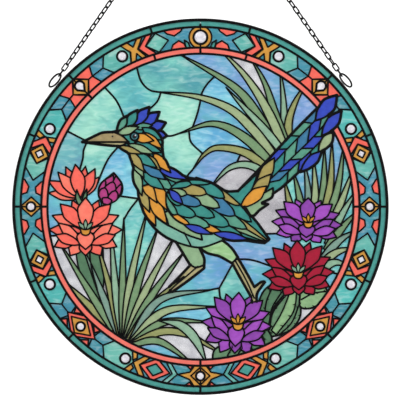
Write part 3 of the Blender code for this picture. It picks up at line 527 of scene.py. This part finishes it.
wingUpper = [-26.5+11.5j, -18+19.5j, -2.5+21.5j, 11+18j, 27.5+5.5j, 43-10j, 55-26j]
wingLower = [-27.5+11j, -26-2j, -16.5-12.5j, 4.5-19.5j, 23.5-24.5j, 39.5-27.5j, 51-29j]
wingAt = between(wingUpper, wingLower)
add("birdWing", "featherTeal", outline(wingUpper, wingLower[::-1]), "bold")
quills = [(0, 0.3, "featherTeal"), (0.3, 0.52, "featherOlive"), (0.52, 0.72, "featherSage"),
          (0.72, 0.86, "featherTeal"), (0.86, 1, "cobalt")]
for u0, u1, glass in quills:
    add("birdWing", glass, strip(wingAt, u0, u1, 0.42, 1), "thin")
wingRows = [(0.5, 3, 0.3, 0), (0.38, 3, 0.28, 1), (0.25, 4, 0.27, 0), (0.12, 4, 0.26, 1), (0.0, 4, 0.24, 0)]
wingGlass = ["featherTeal", "featherGreen", "featherTeal", "featherOlive", "steel", "featherTeal", "amber",
             "featherTeal", "featherSage"]
plumage("birdWing", wingAt, wingRows, wingGlass, 0.36)
feathers("birdWing", [("cobalt", 6.5, [-25+13.5j, -14+2j]), ("cobalt", 6, [-13-14.5j, 9.5-22j]),
    ("cobalt", 6.5, [10-21j, 39.5-26.5j])])

feathers("birdHead", [("cobalt", 7, [-40.5+58j, -26.5+56.5j]), ("cobalt", 8, [-44.5+60.5j, -27.5+67j]),
    ("cobalt", 8.5, [-50+62j, -32.5+75.5j]), ("cobalt", 8.5, [-55.5+62j, -40.5+79.5j]),
    ("featherTeal", 8, [-62+59j, -50+77j]), ("featherGreen", 6, [-66.5+58j, -58.5+72.5j])], "bold", 0.62)
add("birdHead", "featherTeal", shape([-64+61j, -56+64.5j, -46+65j, -36.5+62j, -30.5+54j, -30.5+45j],
    [-40.5+43.5j, -51.5+43.5j, -65+47.5j], [-70+59.5j]), "bold")
feathers("birdHead", [("featherGreen", 5.5, [-53+63j, -38+65j]), ("featherTeal", 7, [-46.5+63j, -30.5+53j]),
    ("featherSage", 6.5, [-66.5+58j, -49+63.5j]), ("featherTeal", 6.5, [-52.5+51.5j, -30+43j]),
    ("featherSage", 6, [-58+50j, -36.5+42j]), ("featherOlive", 5, [-66+48.5j, -46+42j]),
    ("amber", 6.5, [-46+59.5j, -30+46j]), ("amber", 7.5, [-54.5+56.5j, -37+52.5j])])
add("birdHead", "bill", shape([-62.5+56.5j, -69+59.5j], [-78+59j, -86+55.5j, -94+51.5j],
    [-82+51.5j, -57+51.5j]), "bold")
add("birdHead", "shank", shape([-82+51.5j, -57+51.5j], [-64+48.5j, -75.5+49j, -94+51.5j]), "plain")
eye = -52.5+56j
add("birdHead", "iris", circle(eye, 3.3), "plain")
eyePaint = [(eye, 1.75, "pupil"), (eye + 0.75 + 0.8j, 0.6, "stone"), (-70+56j, 0.75, "pupil")]

print("cutting", len(layers), "shapes")


def areaOf(points):
    return sum((a.conjugate() * b).imag for a, b in zip(points, points[1:] + points[:1])) / 2


def cutGlass():  # triangles of the whole design, with the topmost shape of each and the lines between them
    points, edges, faces, edgeLines = [], [], [], []
    for part, run, line in lines:
        edges += [(len(points) + i, len(points) + i + 1) for i in range(len(run) - 1)]
        edgeLines += [(part, line)] * (len(run) - 1)
        points += run
    for _, _, ring, _ in layers:
        faces.append(list(range(len(points), len(points) + len(ring))))
        points += ring if areaOf(ring) > 0 else ring[::-1]
    flat = [Vector((p.real, p.imag)) for p in points]
    corners, sides, triangles, _, sideSources, sources = delaunay_2d_cdt(flat, edges, faces, 0, 1e-3, True)
    plan = [complex(*c) for c in corners]
    turned, sizes = [], []
    for a, b, c in triangles:
        size = ((plan[b] - plan[a]).conjugate() * (plan[c] - plan[a])).imag / 2
        turned.append((a, b, c) if size > 0 else (a, c, b))
        sizes.append(abs(size))
    covered = [0.0] * len(faces)
    for size, held in zip(sizes, sources):
        for i in held:
            covered[i] += size
    whole = sum(sizes)
    flipped = set()
    for i, row in enumerate(layers):  # a shape that was filled on its outer side is turned over
        wanted = abs(areaOf(row[2]))
        if abs(covered[i] - wanted) > abs(whole - covered[i] - wanted):
            flipped.add(i)
    tops = {}
    for t, held in enumerate(sources):
        held = set(held) ^ flipped
        if held:
            tops[t] = max(held)
    cutSides = {}
    for (a, b), held in zip(sides, sideSources):
        found = [edgeLines[i] for i in held if i < len(edges)]
        if found:
            cutSides[frozenset((a, b))] = found
    return plan, turned, tops, cutSides


plan, triangles, tops, cutSides = cutGlass()
across = {}
for t in tops:
    a, b, c = triangles[t]
    for side in ((a, b), (b, c), (c, a)):
        across.setdefault(frozenset(side), []).append(t)


def cutAt(side, part):  # the line inside a shape of this part, or nothing
    for owner, line in cutSides.get(side, ()):
        if owner == part:
            return line
    return None


tileOf, tiles = {}, []
for start in tops:
    if start in tileOf:
        continue
    group, waiting = [], [start]
    tileOf[start] = len(tiles)
    while waiting:
        t = waiting.pop()
        group.append(t)
        a, b, c = triangles[t]
        for side in (frozenset((a, b)), frozenset((b, c)), frozenset((c, a))):
            for other in across[side]:
                if other not in tileOf and tops[other] == tops[t] and not cutAt(side, layers[tops[t]][0]):
                    tileOf[other] = len(tiles)
                    waiting.append(other)
    tiles.append(group)
print(len(tiles), "pieces of glass from", len(triangles), "triangles")


def at3d(point, depth):  # a plan point and a depth towards the back, in millimetres, as a place in the scene
    return (point.real * 0.001, depth * 0.001, (point.imag + panel["centre"]) * 0.001)


def joinRows(faces, one, two, size):  # faces between two rings of points that start at one and two
    for k in range(size):
        after = (k + 1) % size
        faces.append((one + k, two + k, two + after, one + after))


def makeObject(name, verts, faces, materials, nodes, marks=None, smoothed=True):
    mesh = bpy.data.meshes.new(name)
    mesh.from_pydata(verts, [], faces)
    for material in materials:
        mesh.materials.append(material)
    if marks:
        mesh.polygons.foreach_set("material_index", marks)
    if smoothed:
        mesh.polygons.foreach_set("use_smooth", [True] * len(faces))
        mesh.set_sharp_from_angle(angle=math.radians(50))
    mesh.validate()
    made = bpy.data.objects.new(name, mesh)
    bpy.context.scene.collection.objects.link(made)
    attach(made, "root")
    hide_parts(*nodes)
    print(name, sum(len(face) - 2 for face in faces), "triangles")


class Socket:  # a shader value that takes part in arithmetic
    def __init__(self, tree, out):
        self.tree, self.out = tree, out

    def mathNode(self, operation, first, second):
        return self.tree.node("ShaderNodeMath", {"operation": operation}, {0: first, 1: second})

    def __add__(self, other):
        return self.mathNode("ADD", self, other)

    def __mul__(self, other):
        return self.mathNode("MULTIPLY", self, other)

    __radd__, __rmul__ = __add__, __mul__


class Tree:
    def __init__(self, name):
        self.material = bpy.data.materials.new(name)
        self.material.use_nodes = True
        self.nodes, self.links = self.material.node_tree.nodes, self.material.node_tree.links
        self.shader = self.nodes["Principled BSDF"]

    def node(self, kind, settings=None, inputs=None, output=0):
        made = self.nodes.new(kind)
        for key, value in (settings or {}).items():
            setattr(made, key, value)
        for key, value in (inputs or {}).items():
            self.join(value, made.inputs[key])
        return Socket(self, made.outputs[output])

    def join(self, value, socket):
        if isinstance(value, Socket):
            self.links.new(value.out, socket)
        else:
            socket.default_value = value

    def set(self, **values):
        for key, value in values.items():
            self.join(value, self.shader.inputs[key])

    def mixed(self, factor, first, second):
        return self.node("ShaderNodeMix", {"data_type": "RGBA"}, {0: factor, 6: first, 7: second}, 2)

    def ramp(self, value, low, high, most):  # from nothing at low to most at high
        return self.node("ShaderNodeMapRange", {}, {0: value, 1: low, 2: high, 3: 0.0, 4: most})

    def noise(self, scale, detail=2.0, stretch=(1, 1, 1), rough=0.5, twist=0.0):
        place = self.node("ShaderNodeTexCoord", output=3)
        place = self.node("ShaderNodeMapping", {}, {"Vector": place, "Scale": stretch})
        return self.node("ShaderNodeTexNoise", {}, {
            "Vector": place, "Scale": scale, "Detail": detail, "Roughness": rough, "Distortion": twist})

    def bump(self, height, strength, depth):  # depth in millimetres
        values = {"Strength": strength, "Distance": depth * 0.001, "Height": height}
        return self.node("ShaderNodeBump", {}, values)


def linear(colour):  # from sRGB in 0 to 255
    return tuple((c / 255 / 12.92) if c < 10.3 else ((c / 255 + 0.055) / 1.055) ** 2.4 for c in colour) + (1,)


surfaces = {  # scale of the mottling and of the ripples, and how the ripples are stretched, twisted and deep
    "plain": {"mottle": 260, "ripple": 300, "stretch": (1, 1, 1), "twist": 0, "depth": 0.1, "rough": 0.26},
    "ripple": {"mottle": 26, "ripple": 150, "stretch": (0.6, 1, 1.7), "twist": 0.9, "depth": 0.5,
               "rough": 0.16},
    "marble": {"mottle": 60, "ripple": 130, "stretch": (1, 1, 1), "twist": 0, "depth": 0.35, "rough": 0.2},
    "stone": {"mottle": 330, "ripple": 420, "stretch": (1, 1, 1), "twist": 0, "depth": 0.2, "rough": 0.14},
}
# the crest and trough shares set how strongly painted highlight and painted shade follow the ripples in the
# glass colour
glassLook = {"paintedCrestHighlight": 0.42, "paintedTroughShade": 0.4, "vein": 0.55, "veinColour": (0.86, 0.86, 0.9, 1), "grain": 0.12,
             "clear": 0.35, "shine": 0.28, "bend": 1.5}


def paintedLightTone(colour, share, lift=0.0):  # a darker or paler copy of a colour, used for painted shade and painted highlight
    return tuple(lift + share * c for c in colour[:3]) + (1,)


def glassMaterial(name, tone, second, amount, surface="plain"):
    look = surfaces[surface]
    tree = Tree(name)
    cloud = tree.noise(look["mottle"], 3.0, (1, 1, 1.3), 0.55)
    colour = tree.mixed(tree.ramp(cloud, 0.38, 0.62, amount), linear(tone), linear(second))
    ripple = tree.noise(look["ripple"], 2.0, look["stretch"], 0.45, look["twist"])
    if surface == "ripple":  # painted highlight: a paler copy of the tone along the crests of the ripples
        paintedCrestHighlight = tree.ramp(ripple, 0.5, 0.72, glassLook["paintedCrestHighlight"])
        colour = tree.mixed(paintedCrestHighlight, colour, paintedLightTone(linear(tone), 0.5, 0.5))
        # painted shade: a darker copy of the second tone in the troughs of the ripples
        paintedTroughShade = tree.ramp(ripple, 0.48, 0.3, glassLook["paintedTroughShade"])
        colour = tree.mixed(paintedTroughShade, colour, paintedLightTone(linear(second), 0.66))
    if surface in ("marble", "stone"):
        vein = tree.noise(look["ripple"] * 0.8, 5.0, (1, 1, 1), 0.65)
        colour = tree.mixed(tree.ramp(vein, 0.5, 0.72, glassLook["vein"]), colour, glassLook["veinColour"])
    rough = look["rough"] + glassLook["grain"] * tree.noise(2600, 1.0)
    tree.set(**{"Base Color": colour, "Roughness": rough, "Normal": tree.bump(ripple, 0.6, look["depth"]),
                "IOR": glassLook["bend"], "Transmission Weight": glassLook["clear"],
                "Specular IOR Level": glassLook["shine"]})
    return tree.material


def metalMaterial(name, tone, rough, scale):
    tree = Tree(name)
    worn = tree.noise(scale, 4.0, (1, 1, 1), 0.6)
    patch = tree.ramp(worn, 0.45, 0.75, 0.6)
    colour = tree.mixed(patch, linear(tone), linear(tuple(c * 1.6 + 5 for c in tone)))
    tree.set(**{"Base Color": colour, "Roughness": rough + 0.2 * patch, "Normal": tree.bump(worn, 0.5, 0.12),
                "Specular IOR Level": 0.09})
    return tree.material


glassMaterials = {name: glassMaterial(name, *look) for name, look in glasses.items()}
came = metalMaterial("blackCame", (4, 4, 5), 0.5, 900)
wire = metalMaterial("blackWire", (5, 5, 6), 0.45, 1400)


def areaOfTriangle(t):
    a, b, c = (plan[k] for k in triangles[t])
    return ((b - a).conjugate() * (c - a)).imag / 2


def areaOfGroup(group):
    return sum(areaOfTriangle(t) for t in group)


def skyGlassFor(group):  # by the place nearest to the middle of its area
    weighed = sum(areaOfTriangle(t) * sum(plan[k] for k in triangles[t]) / 3 for t in group)
    middle = weighed / areaOfGroup(group)
    places = [(abs(place - middle), glass) for glass, spots in skyPlaces.items() for place in spots]
    return min(places)[1]


def outerSides(group):  # from each outer corner to the next ones, with the glass on the left
    sides = {}
    for t in group:
        a, b, c = triangles[t]
        sides.update({(a, b): True, (b, c): True, (c, a): True})
    onward = {}
    for a, b in sides:
        if (b, a) not in sides:
            onward.setdefault(a, []).append(b)
    return onward


def makeGlass(name, parts, nodes):  # every piece of glass of some parts, as one object of slabs
    verts, faces, marks, used = [], [], [], []
    for group in tiles:
        part, glass, _, _ = layers[tops[group[0]]]
        if part not in parts or areaOfGroup(group) < panel["leastGlass"]:
            continue
        if glass == "sky":
            glass = skyGlassFor(group)
        if glass not in used:
            used.append(glass)
        onward = outerSides(group)
        inwards = {}  # at each outer corner, the ways into the glass from its sides
        for a, ways in onward.items():
            for b in ways:
                way = plan[b] - plan[a]
                normal = 1j * way / abs(way) if way else 0
                for k in (a, b):
                    inwards.setdefault(k, []).append(normal)
        row = {}
        for k in (k for t in group for k in triangles[t]):
            if k in row:
                continue
            push = sum(inwards.get(k, ()))
            push = push / abs(push) if abs(push) > 0.3 else 0
            row[k] = len(verts)
            point = plan[k] + push * panel["edgeGap"]
            verts += [at3d(point, panel["glassFront"]), at3d(point, panel["glassBack"])]
        start = len(faces)
        for t in group:
            a, b, c = (row[k] for k in triangles[t])
            faces += [(a, b, c), (c + 1, b + 1, a + 1)]
        faces += [(row[b], row[a], row[a] + 1, row[b] + 1) for a, ways in onward.items() for b in ways]
        marks += [used.index(glass)] * (len(faces) - start)
    makeObject(name, verts, faces, [glassMaterials[glass] for glass in used], nodes, marks, False)


def nodesOf(start):
    return [node for node in sorted(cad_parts) if node.startswith(start)]


def nodeOf(part):  # birdLegLeft is bird_leg_left in the frame
    return "".join("_" + letter.lower() if letter.isupper() else letter for letter in part)


makeGlass("skyGlass", ("sky", "leaves"), nodesOf("sky"))
makeGlass("outerRingGlass", ("outerRing",), nodesOf("outer_ring"))
makeGlass("coralRingGlass", ("coralRing",), nodesOf("coral_ring"))
makeGlass("borderGlass", ("border", "stones"), nodesOf("border"))
featherParts = ("birdTail", "birdBack", "birdBreast", "birdNeck", "birdWing", "birdHead")
legParts = ("birdLegLeft", "birdLegRight")
for slot, parts in (
    ("feather_glass", featherParts), ("leg_glass", legParts),
    ("coral_glass", ["flowerCoralUpper", "flowerCoralLower"]), ("magenta_glass", ["flowerBud"]),
    ("purple_glass", ["flowerPurpleRight", "flowerPurpleLower"]), ("crimson_glass", ["flowerCrimson"]),
    ("cactus_glass", ["cactusRight", "cactusLower"]),
):
    for part in parts:
        makeGlass(part + "Glass", (part,), [nodeOf(part)])

print("running the lead")


def lineBetween(side):  # the width of lead along a side of the triangulation, or nothing
    pair = across.get(side, ())
    if len(pair) < 2:
        return None
    one, two = sorted((tops[t] for t in pair))
    lower, upper = layers[one], layers[two]
    if one == two:
        line = cutAt(side, upper[0])
        loose = line == "plain" and tileOf[pair[0]] == tileOf[pair[1]]  # past the end of a cut
        return lineWidths[line] if line and not loose else None
    lowerIsBird, upperIsBird = (row[0] in featherParts + legParts for row in (lower, upper))
    if upperIsBird and not lowerIsBird:
        return lineWidths["bold"]
    if upper[3] == "bold" and lowerIsBird == upperIsBird:
        return lineWidths["plain"]
    return lineWidths[upper[3]]


links = {}
for side in across:
    width = lineBetween(side)
    if width:
        a, b = side
        family = "border" if abs(plan[a]) > panel["pictureRadius"] - 0.5 else "picture"
        links.setdefault(a, []).append((b, width, family))
        links.setdefault(b, []).append((a, width, family))


def isJoint(k):
    ways = links[k]
    if len(ways) != 2 or ways[0][1:] != ways[1][1:]:
        return True
    turn = cmath.phase((plan[ways[1][0]] - plan[k]) / (plan[k] - plan[ways[0][0]]))
    return abs(turn) > math.radians(panel["sharpTurn"])


joints = {k for k in links if isJoint(k)}
runs, seen = [], set()
for start in [*sorted(joints), *sorted(set(links) - joints)]:
    for after, width, family in links[start]:
        begun = any(frozenset((start, way[0])) in seen for way in links[start])
        if frozenset((start, after)) in seen or (start not in joints and begun):
            continue
        run, here, before = [start], after, start
        seen.add(frozenset((start, after)))
        while here not in joints and here != start:
            run.append(here)
            onward = next(way[0] for way in links[here] if way[0] != before)
            seen.add(frozenset((here, onward)))
            before, here = here, onward
        run.append(here)
        runs.append(([plan[k] for k in run], width, family, here == start and start not in joints))


def thinned(points, tolerance=0.05, shortest=0.5, longest=4):  # without needless points
    kept = [points[0]]
    for p, b in zip(points[1:], points[2:]):
        a = kept[-1]
        if abs(p - a) < shortest or b == a:
            continue
        off = abs(((p - a) / (b - a)).imag * abs(b - a))
        if off > tolerance or abs(p - a) > longest:
            kept.append(p)
    if len(kept) > 1 and abs(points[-1] - kept[-1]) < shortest:
        kept.pop()
    return [*kept, points[-1]]


# Sections of lead: share of half the width, and depth
halfBead = [(-0.26, -1.5), (-1, -1.53), (-0.84, -1.95), (-0.46, -2.27), (0, -2.38), (0.46, -2.27),
            (0.84, -1.95), (1, -1.53), (0.26, -1.5)]
beadSection = halfBead + [(-x, -depth) for x, depth in halfBead]
thornSection = [(-1, -1.5), (-0.7, -1.95), (0, -2.1), (0.7, -1.95), (1, -1.5)]


def tube(verts, faces, points, width, closed, section=beadSection, taper=1.0):  # a line of lead or a thorn
    points = thinned(points)
    if closed:
        points = points[:-1]
    count, size = len(points), len(section)
    if count < 2 or (closed and count < 3):
        return
    base = len(verts)
    for i, p in enumerate(points):
        into = p - points[i - 1] if i or closed else points[1] - p
        out = points[(i + 1) % count] - p if i < count - 1 or closed else into
        square = 1j * (into / abs(into) + out / abs(out))
        mitre = min(1.35, 2 / max(abs(square), 0.1))  # a bend is wider on its bisector, up to a limit
        square = square / max(abs(square), 1e-6) * mitre * width / 2
        share = 1 - (1 - taper) * i / max(1, count - 1)
        verts += [at3d(p + square * x * share, depth) for x, depth in section]
    for i in range(count if closed else count - 1):
        joinRows(faces, base + i * size, base + (i + 1) % count * size, size)
    if not closed:
        last = base + (count - 1) * size
        faces += [tuple(range(base, base + size)), tuple(range(last + size - 1, last - 1, -1))]


solder = {"end": (0.55, 2.3), "meeting": (0.66, 2.4),  # radius in shares of the widest line there, and height
          "fillHeight": 2.1, "segments": 10, "rings": 6}


def spun(verts, faces, centre, rows, segments):  # rows of radius and depth, back to front; no radius: a tip
    starts = []
    for radius, depth in rows:
        starts.append((len(verts), segments if radius else 1))
        verts += [at3d(centre + polar(360 * k / segments, radius), depth) for k in range(starts[-1][1])]
    for (one, size), (two, count) in zip(starts, starts[1:]):
        for k in range(segments):
            after = (k + 1) % segments
            corners = (one + k % size, two + k % count, two + after % count, one + after % size)
            faces.append(tuple(dict.fromkeys(corners)))  # at a tip two corners are one
    for (start, count), step in ((starts[0], 1), (starts[-1], -1)):
        if count > 1:
            faces.append(tuple(range(start, start + count))[::step])


def blob(verts, faces, point, radius, height):  # a rounded drop of solder through the panel
    turns = [math.pi * i / solder["rings"] for i in range(1, solder["rings"])]
    rows = [(radius * math.sin(turn) ** 0.6, height * math.cos(turn)) for turn in turns]
    spun(verts, faces, point, [(0, height), *rows, (0, -height)], solder["segments"])


for family in ("border", "picture"):
    verts, faces = [], []
    for points, width, kin, closed in runs:
        if kin == family:
            tube(verts, faces, points, width, closed)
    for root, tip in thorns if family == "picture" else ():
        if abs(tip) < panel["pictureRadius"] - 2:
            tube(verts, faces, [root, tip], thorn["width"], False, thornSection, thorn["taper"])
    makeObject(family + "Lead", verts, faces, [came], ["lead_web"])
verts, faces = [], []
for t in (t for group in tiles if areaOfGroup(group) < panel["leastGlass"] for t in group):
    base = len(verts)
    for depth in (-solder["fillHeight"], solder["fillHeight"]):
        verts += [at3d(plan[k], depth) for k in triangles[t]]
    faces += [(base, base + 1, base + 2), (base + 5, base + 4, base + 3)]
    faces += [(base + i, base + 3 + i, base + 3 + (i + 1) % 3, base + (i + 1) % 3) for i in range(3)]
for k in sorted(joints):
    if abs(plan[k]) < panel["rimInner"]:
        share, height = solder["meeting" if len(links[k]) > 2 else "end"]
        blob(verts, faces, plan[k], share * max(way[1] for way in links[k]), height)
makeObject("solderJoints", verts, faces, [came], ["lead_web"])

print("setting the stones")
setting = {"inset": 0.75, "foot": -1.46, "height": 1.6, "segments": 28, "rings": 6}
verts, faces = [], []
for centre, radius in stones:
    rows = []
    for i in range(setting["rings"]):
        turn = math.pi / 2 * i / setting["rings"]
        reach = (radius - setting["inset"]) * math.cos(turn)
        rows.append((reach, setting["foot"] - setting["height"] * math.sin(turn)))
    rows.append((0, setting["foot"] - setting["height"]))
    spun(verts, faces, centre, rows, setting["segments"])
makeObject("borderStones", verts, faces, [glassMaterials["stone"]], nodesOf("border"))

print("painting the eye")
paint = {"back": -1.45, "front": -1.62, "layer": -0.08, "sides": 24}
verts, faces, marks = [], [], []
for order, (centre, radius, glass) in enumerate(eyePaint):
    rows = [(radius, paint["back"]), (radius, paint["front"] + paint["layer"] * order)]
    spun(verts, faces, centre, rows, paint["sides"])
    marks += [order] * (paint["sides"] + 2)
paints = [glassMaterials[glass] for _, _, glass in eyePaint]
makeObject("eyeAndNostrilPaint", verts, faces, paints, ["bird_head"], marks, False)

print("making the rim")
halfRim = [(1.1, 1.8), (2, 1.85), (2.4, 2.1), (2.4, 2.5), (1.9, 2.8), (0.5, 2.8), (0, 2.3)]  # inset and depth
rimSection = [(inset, -depth) for inset, depth in reversed(halfRim)] + halfRim
rimTurns, size = 240, len(rimSection)
verts, faces = [], []
for i in range(rimTurns):
    verts += [at3d(polar(360 * i / rimTurns, panel["radius"] - inset), depth) for inset, depth in rimSection]
    joinRows(faces, (i + 1) % rimTurns * size, i * size, size)
makeObject("rimChannel", verts, faces, [came], ["rim"])

print("hanging the chain")
chain = {"pitch": 5.7, "width": 4.4, "wire": 1.0, "weld": 0.15, "gap": 0.3, "hookRadius": 0.5,
         "linkRadius": 0.6, "linkPoints": 24, "twist": 90, "lean": 42}
loop = {"angle": 49, "length": 14.5, "width": 6.6, "wire": 1.4, "sides": 10, "turnRadius": 0.4,
        "turnInsets": (0.36, 1.06), "points": 40}


def ringOfWire(verts, faces, path, radius, sides=8):  # a closed round wire along a path, all in millimetres
    base, count = len(verts), len(path)
    normal = (path[1] - path[0]).cross(path[2] - path[1]).normalized()
    for i, p in enumerate(path):
        side = (path[(i + 1) % count] - path[i - 1]).cross(normal).normalized()
        for k in range(sides):
            turn = 2 * math.pi * k / sides
            verts.append((p + (side * math.cos(turn) + normal * math.sin(turn)) * radius) * 0.001)
    for i in range(count):
        joinRows(faces, base + i * sides, base + (i + 1) % count * sides, sides)


def linkPath(centre, along, wide, inner):  # the middle line of a chain link's wire
    half, reach = (chain["width"] - chain["wire"]) / 2, (inner + chain["wire"]) / 2
    bend = min(half, reach)
    path = []
    for i in range(chain["linkPoints"]):
        turn = 2 * math.pi * (i + 0.5) / chain["linkPoints"]
        x, y = math.cos(turn), math.sin(turn)
        path.append(centre + along * (x * bend + math.copysign(reach - bend, x)) + wide * y * half)
    return path


front = Vector((0, -1, 0))
verts, faces = [], []
hookPath = linkPath(Vector((0, 0, 0)), Vector((1, 0, 0)), Vector((0, 0, 1)), chain["pitch"])
ringOfWire(verts, faces, hookPath, chain["hookRadius"])
makeObject("hookLink", verts, faces, [wire], ["hanging_link"])
for side, word in ((-1, "left"), (1, "right")):
    out = polar(side * loop["angle"], 1)
    middle = out * (panel["radius"] + chain["gap"] + loop["width"] / 2)
    inLoop = out * 1j * side * (loop["length"] / 2 - loop["wire"]) * math.cos(math.pi / loop["sides"])
    start = Vector((side * (chain["pitch"] / 2 - chain["wire"] * 0.75), 0, 0))
    end = Vector(((middle + inLoop).real, 0, (middle + inLoop).imag + panel["centre"]))
    way = (end - start).normalized()
    end += way * (chain["gap"] + chain["wire"] / 2)
    run = (end - start).length - chain["weld"]
    count = 2 * round(run / chain["pitch"] / 2 - 0.5) + 1
    pitch = run / count
    upright = way.cross(front)
    verts, faces = [], []
    for i in range(count):  # every second link is turned, and the lean grows over the first and last three
        spot = start + way * (pitch * (i + 0.5) + chain["weld"] / 2)
        turn = math.radians(chain["twist"] * (i % 2) + chain["lean"] * min(1, i / 3, (count - 1 - i) / 3))
        wide = front * math.cos(turn) + upright * math.sin(turn)
        ringOfWire(verts, faces, linkPath(spot, way, wide, pitch), chain["linkRadius"])
    makeObject("chain" + word.title(), verts, faces, [wire], ["chain_" + word])
    verts, faces = [], []
    for inset in loop["turnInsets"]:  # the loop is two turns of wire, one inside the other
        path = []
        for i in range(loop["points"]):
            turn = 2 * math.pi * i / loop["points"]
            spot = middle + out * 1j * math.cos(turn) * (loop["length"] / 2 - inset)
            spot += out * math.sin(turn) * (loop["width"] / 2 - inset)
            path.append(Vector((spot.real, 0, spot.imag + panel["centre"])))
        ringOfWire(verts, faces, path, loop["turnRadius"])
    makeObject("wireLoop" + word.title(), verts, faces, [wire], ["hanging_loop_" + word])

print("setting up the studio")
studio = {"backdrop": 3.3, "floor": -1.1, "cove": 0.4, "top": 4, "paper": 0.9, "world": 0.66,
          "key": 30, "fill": 17, "wash": 60}


def paperMaterial(name, tone, rough):
    tree = Tree(name)
    colour = tree.mixed(tree.noise(3.0), (tone, tone, tone, 1), (tone * 0.985, tone * 0.985, tone * 0.99, 1))
    tree.set(**{"Base Color": colour, "Roughness": rough})
    return tree.material


sweepSection = [(-4, studio["floor"]), (studio["backdrop"] - studio["cove"], studio["floor"]),
                (studio["backdrop"] - studio["cove"] * 0.3, studio["floor"] + studio["cove"] * 0.3),
                (studio["backdrop"], studio["floor"] + studio["cove"]), (studio["backdrop"], studio["top"])]
sweep = bpy.data.meshes.new("studioSweep")
sweep.from_pydata([(x, y, z) for x in (-6, 6) for y, z in sweepSection], [],
                  [(i, i + 1, i + 6, i + 5) for i in range(4)])
sweep.materials.append(paperMaterial("palePaper", studio["paper"], 0.8))
backdrop = bpy.data.objects.new("studioSweep", sweep)
bpy.context.scene.collection.objects.link(backdrop)

world = bpy.data.worlds.new("softRoom")
world.use_nodes = True
world.node_tree.nodes["Background"].inputs[0].default_value = (1, 1, 1, 1)
world.node_tree.nodes["Background"].inputs[1].default_value = studio["world"]
bpy.context.scene.world = world


def softLight(name, place, target, size, power):
    lamp = bpy.data.lights.new(name, "AREA")
    lamp.shape, lamp.size, lamp.energy = "DISK", size, power
    made = bpy.data.objects.new(name, lamp)
    made.location = place
    made.rotation_euler = (Vector(target) - Vector(place)).to_track_quat("-Z", "Y").to_euler()
    bpy.context.scene.collection.objects.link(made)


middle3d = (0, 0, panel["centre"] * 0.001)
softLight("keyLight", (-1.5, -1.4, 1.1), middle3d, 0.9, studio["key"])
softLight("fillLight", (1.6, -1.3, 0.3), middle3d, 1.1, studio["fill"])
softLight("washLight", (0, 2.2, 2.2), (0, studio["backdrop"], -0.4), 1.4, studio["wash"])

lens = {"distance": 1.7, "frame": 0.319, "across": -0.0003, "up": 0.0053}
camera = bpy.data.cameras.new("photoCamera")
camera.sensor_width = 36
camera.lens = 36 * lens["distance"] / lens["frame"]
cameraObject = bpy.data.objects.new("photoCamera", camera)
cameraObject.location = (lens["across"], -lens["distance"], panel["centre"] * 0.001 + lens["up"])
cameraObject.rotation_euler = (math.pi / 2, 0, 0)
bpy.context.scene.collection.objects.link(cameraObject)
bpy.context.scene.camera = cameraObject
bpy.context.scene.view_settings.view_transform = "Standard"
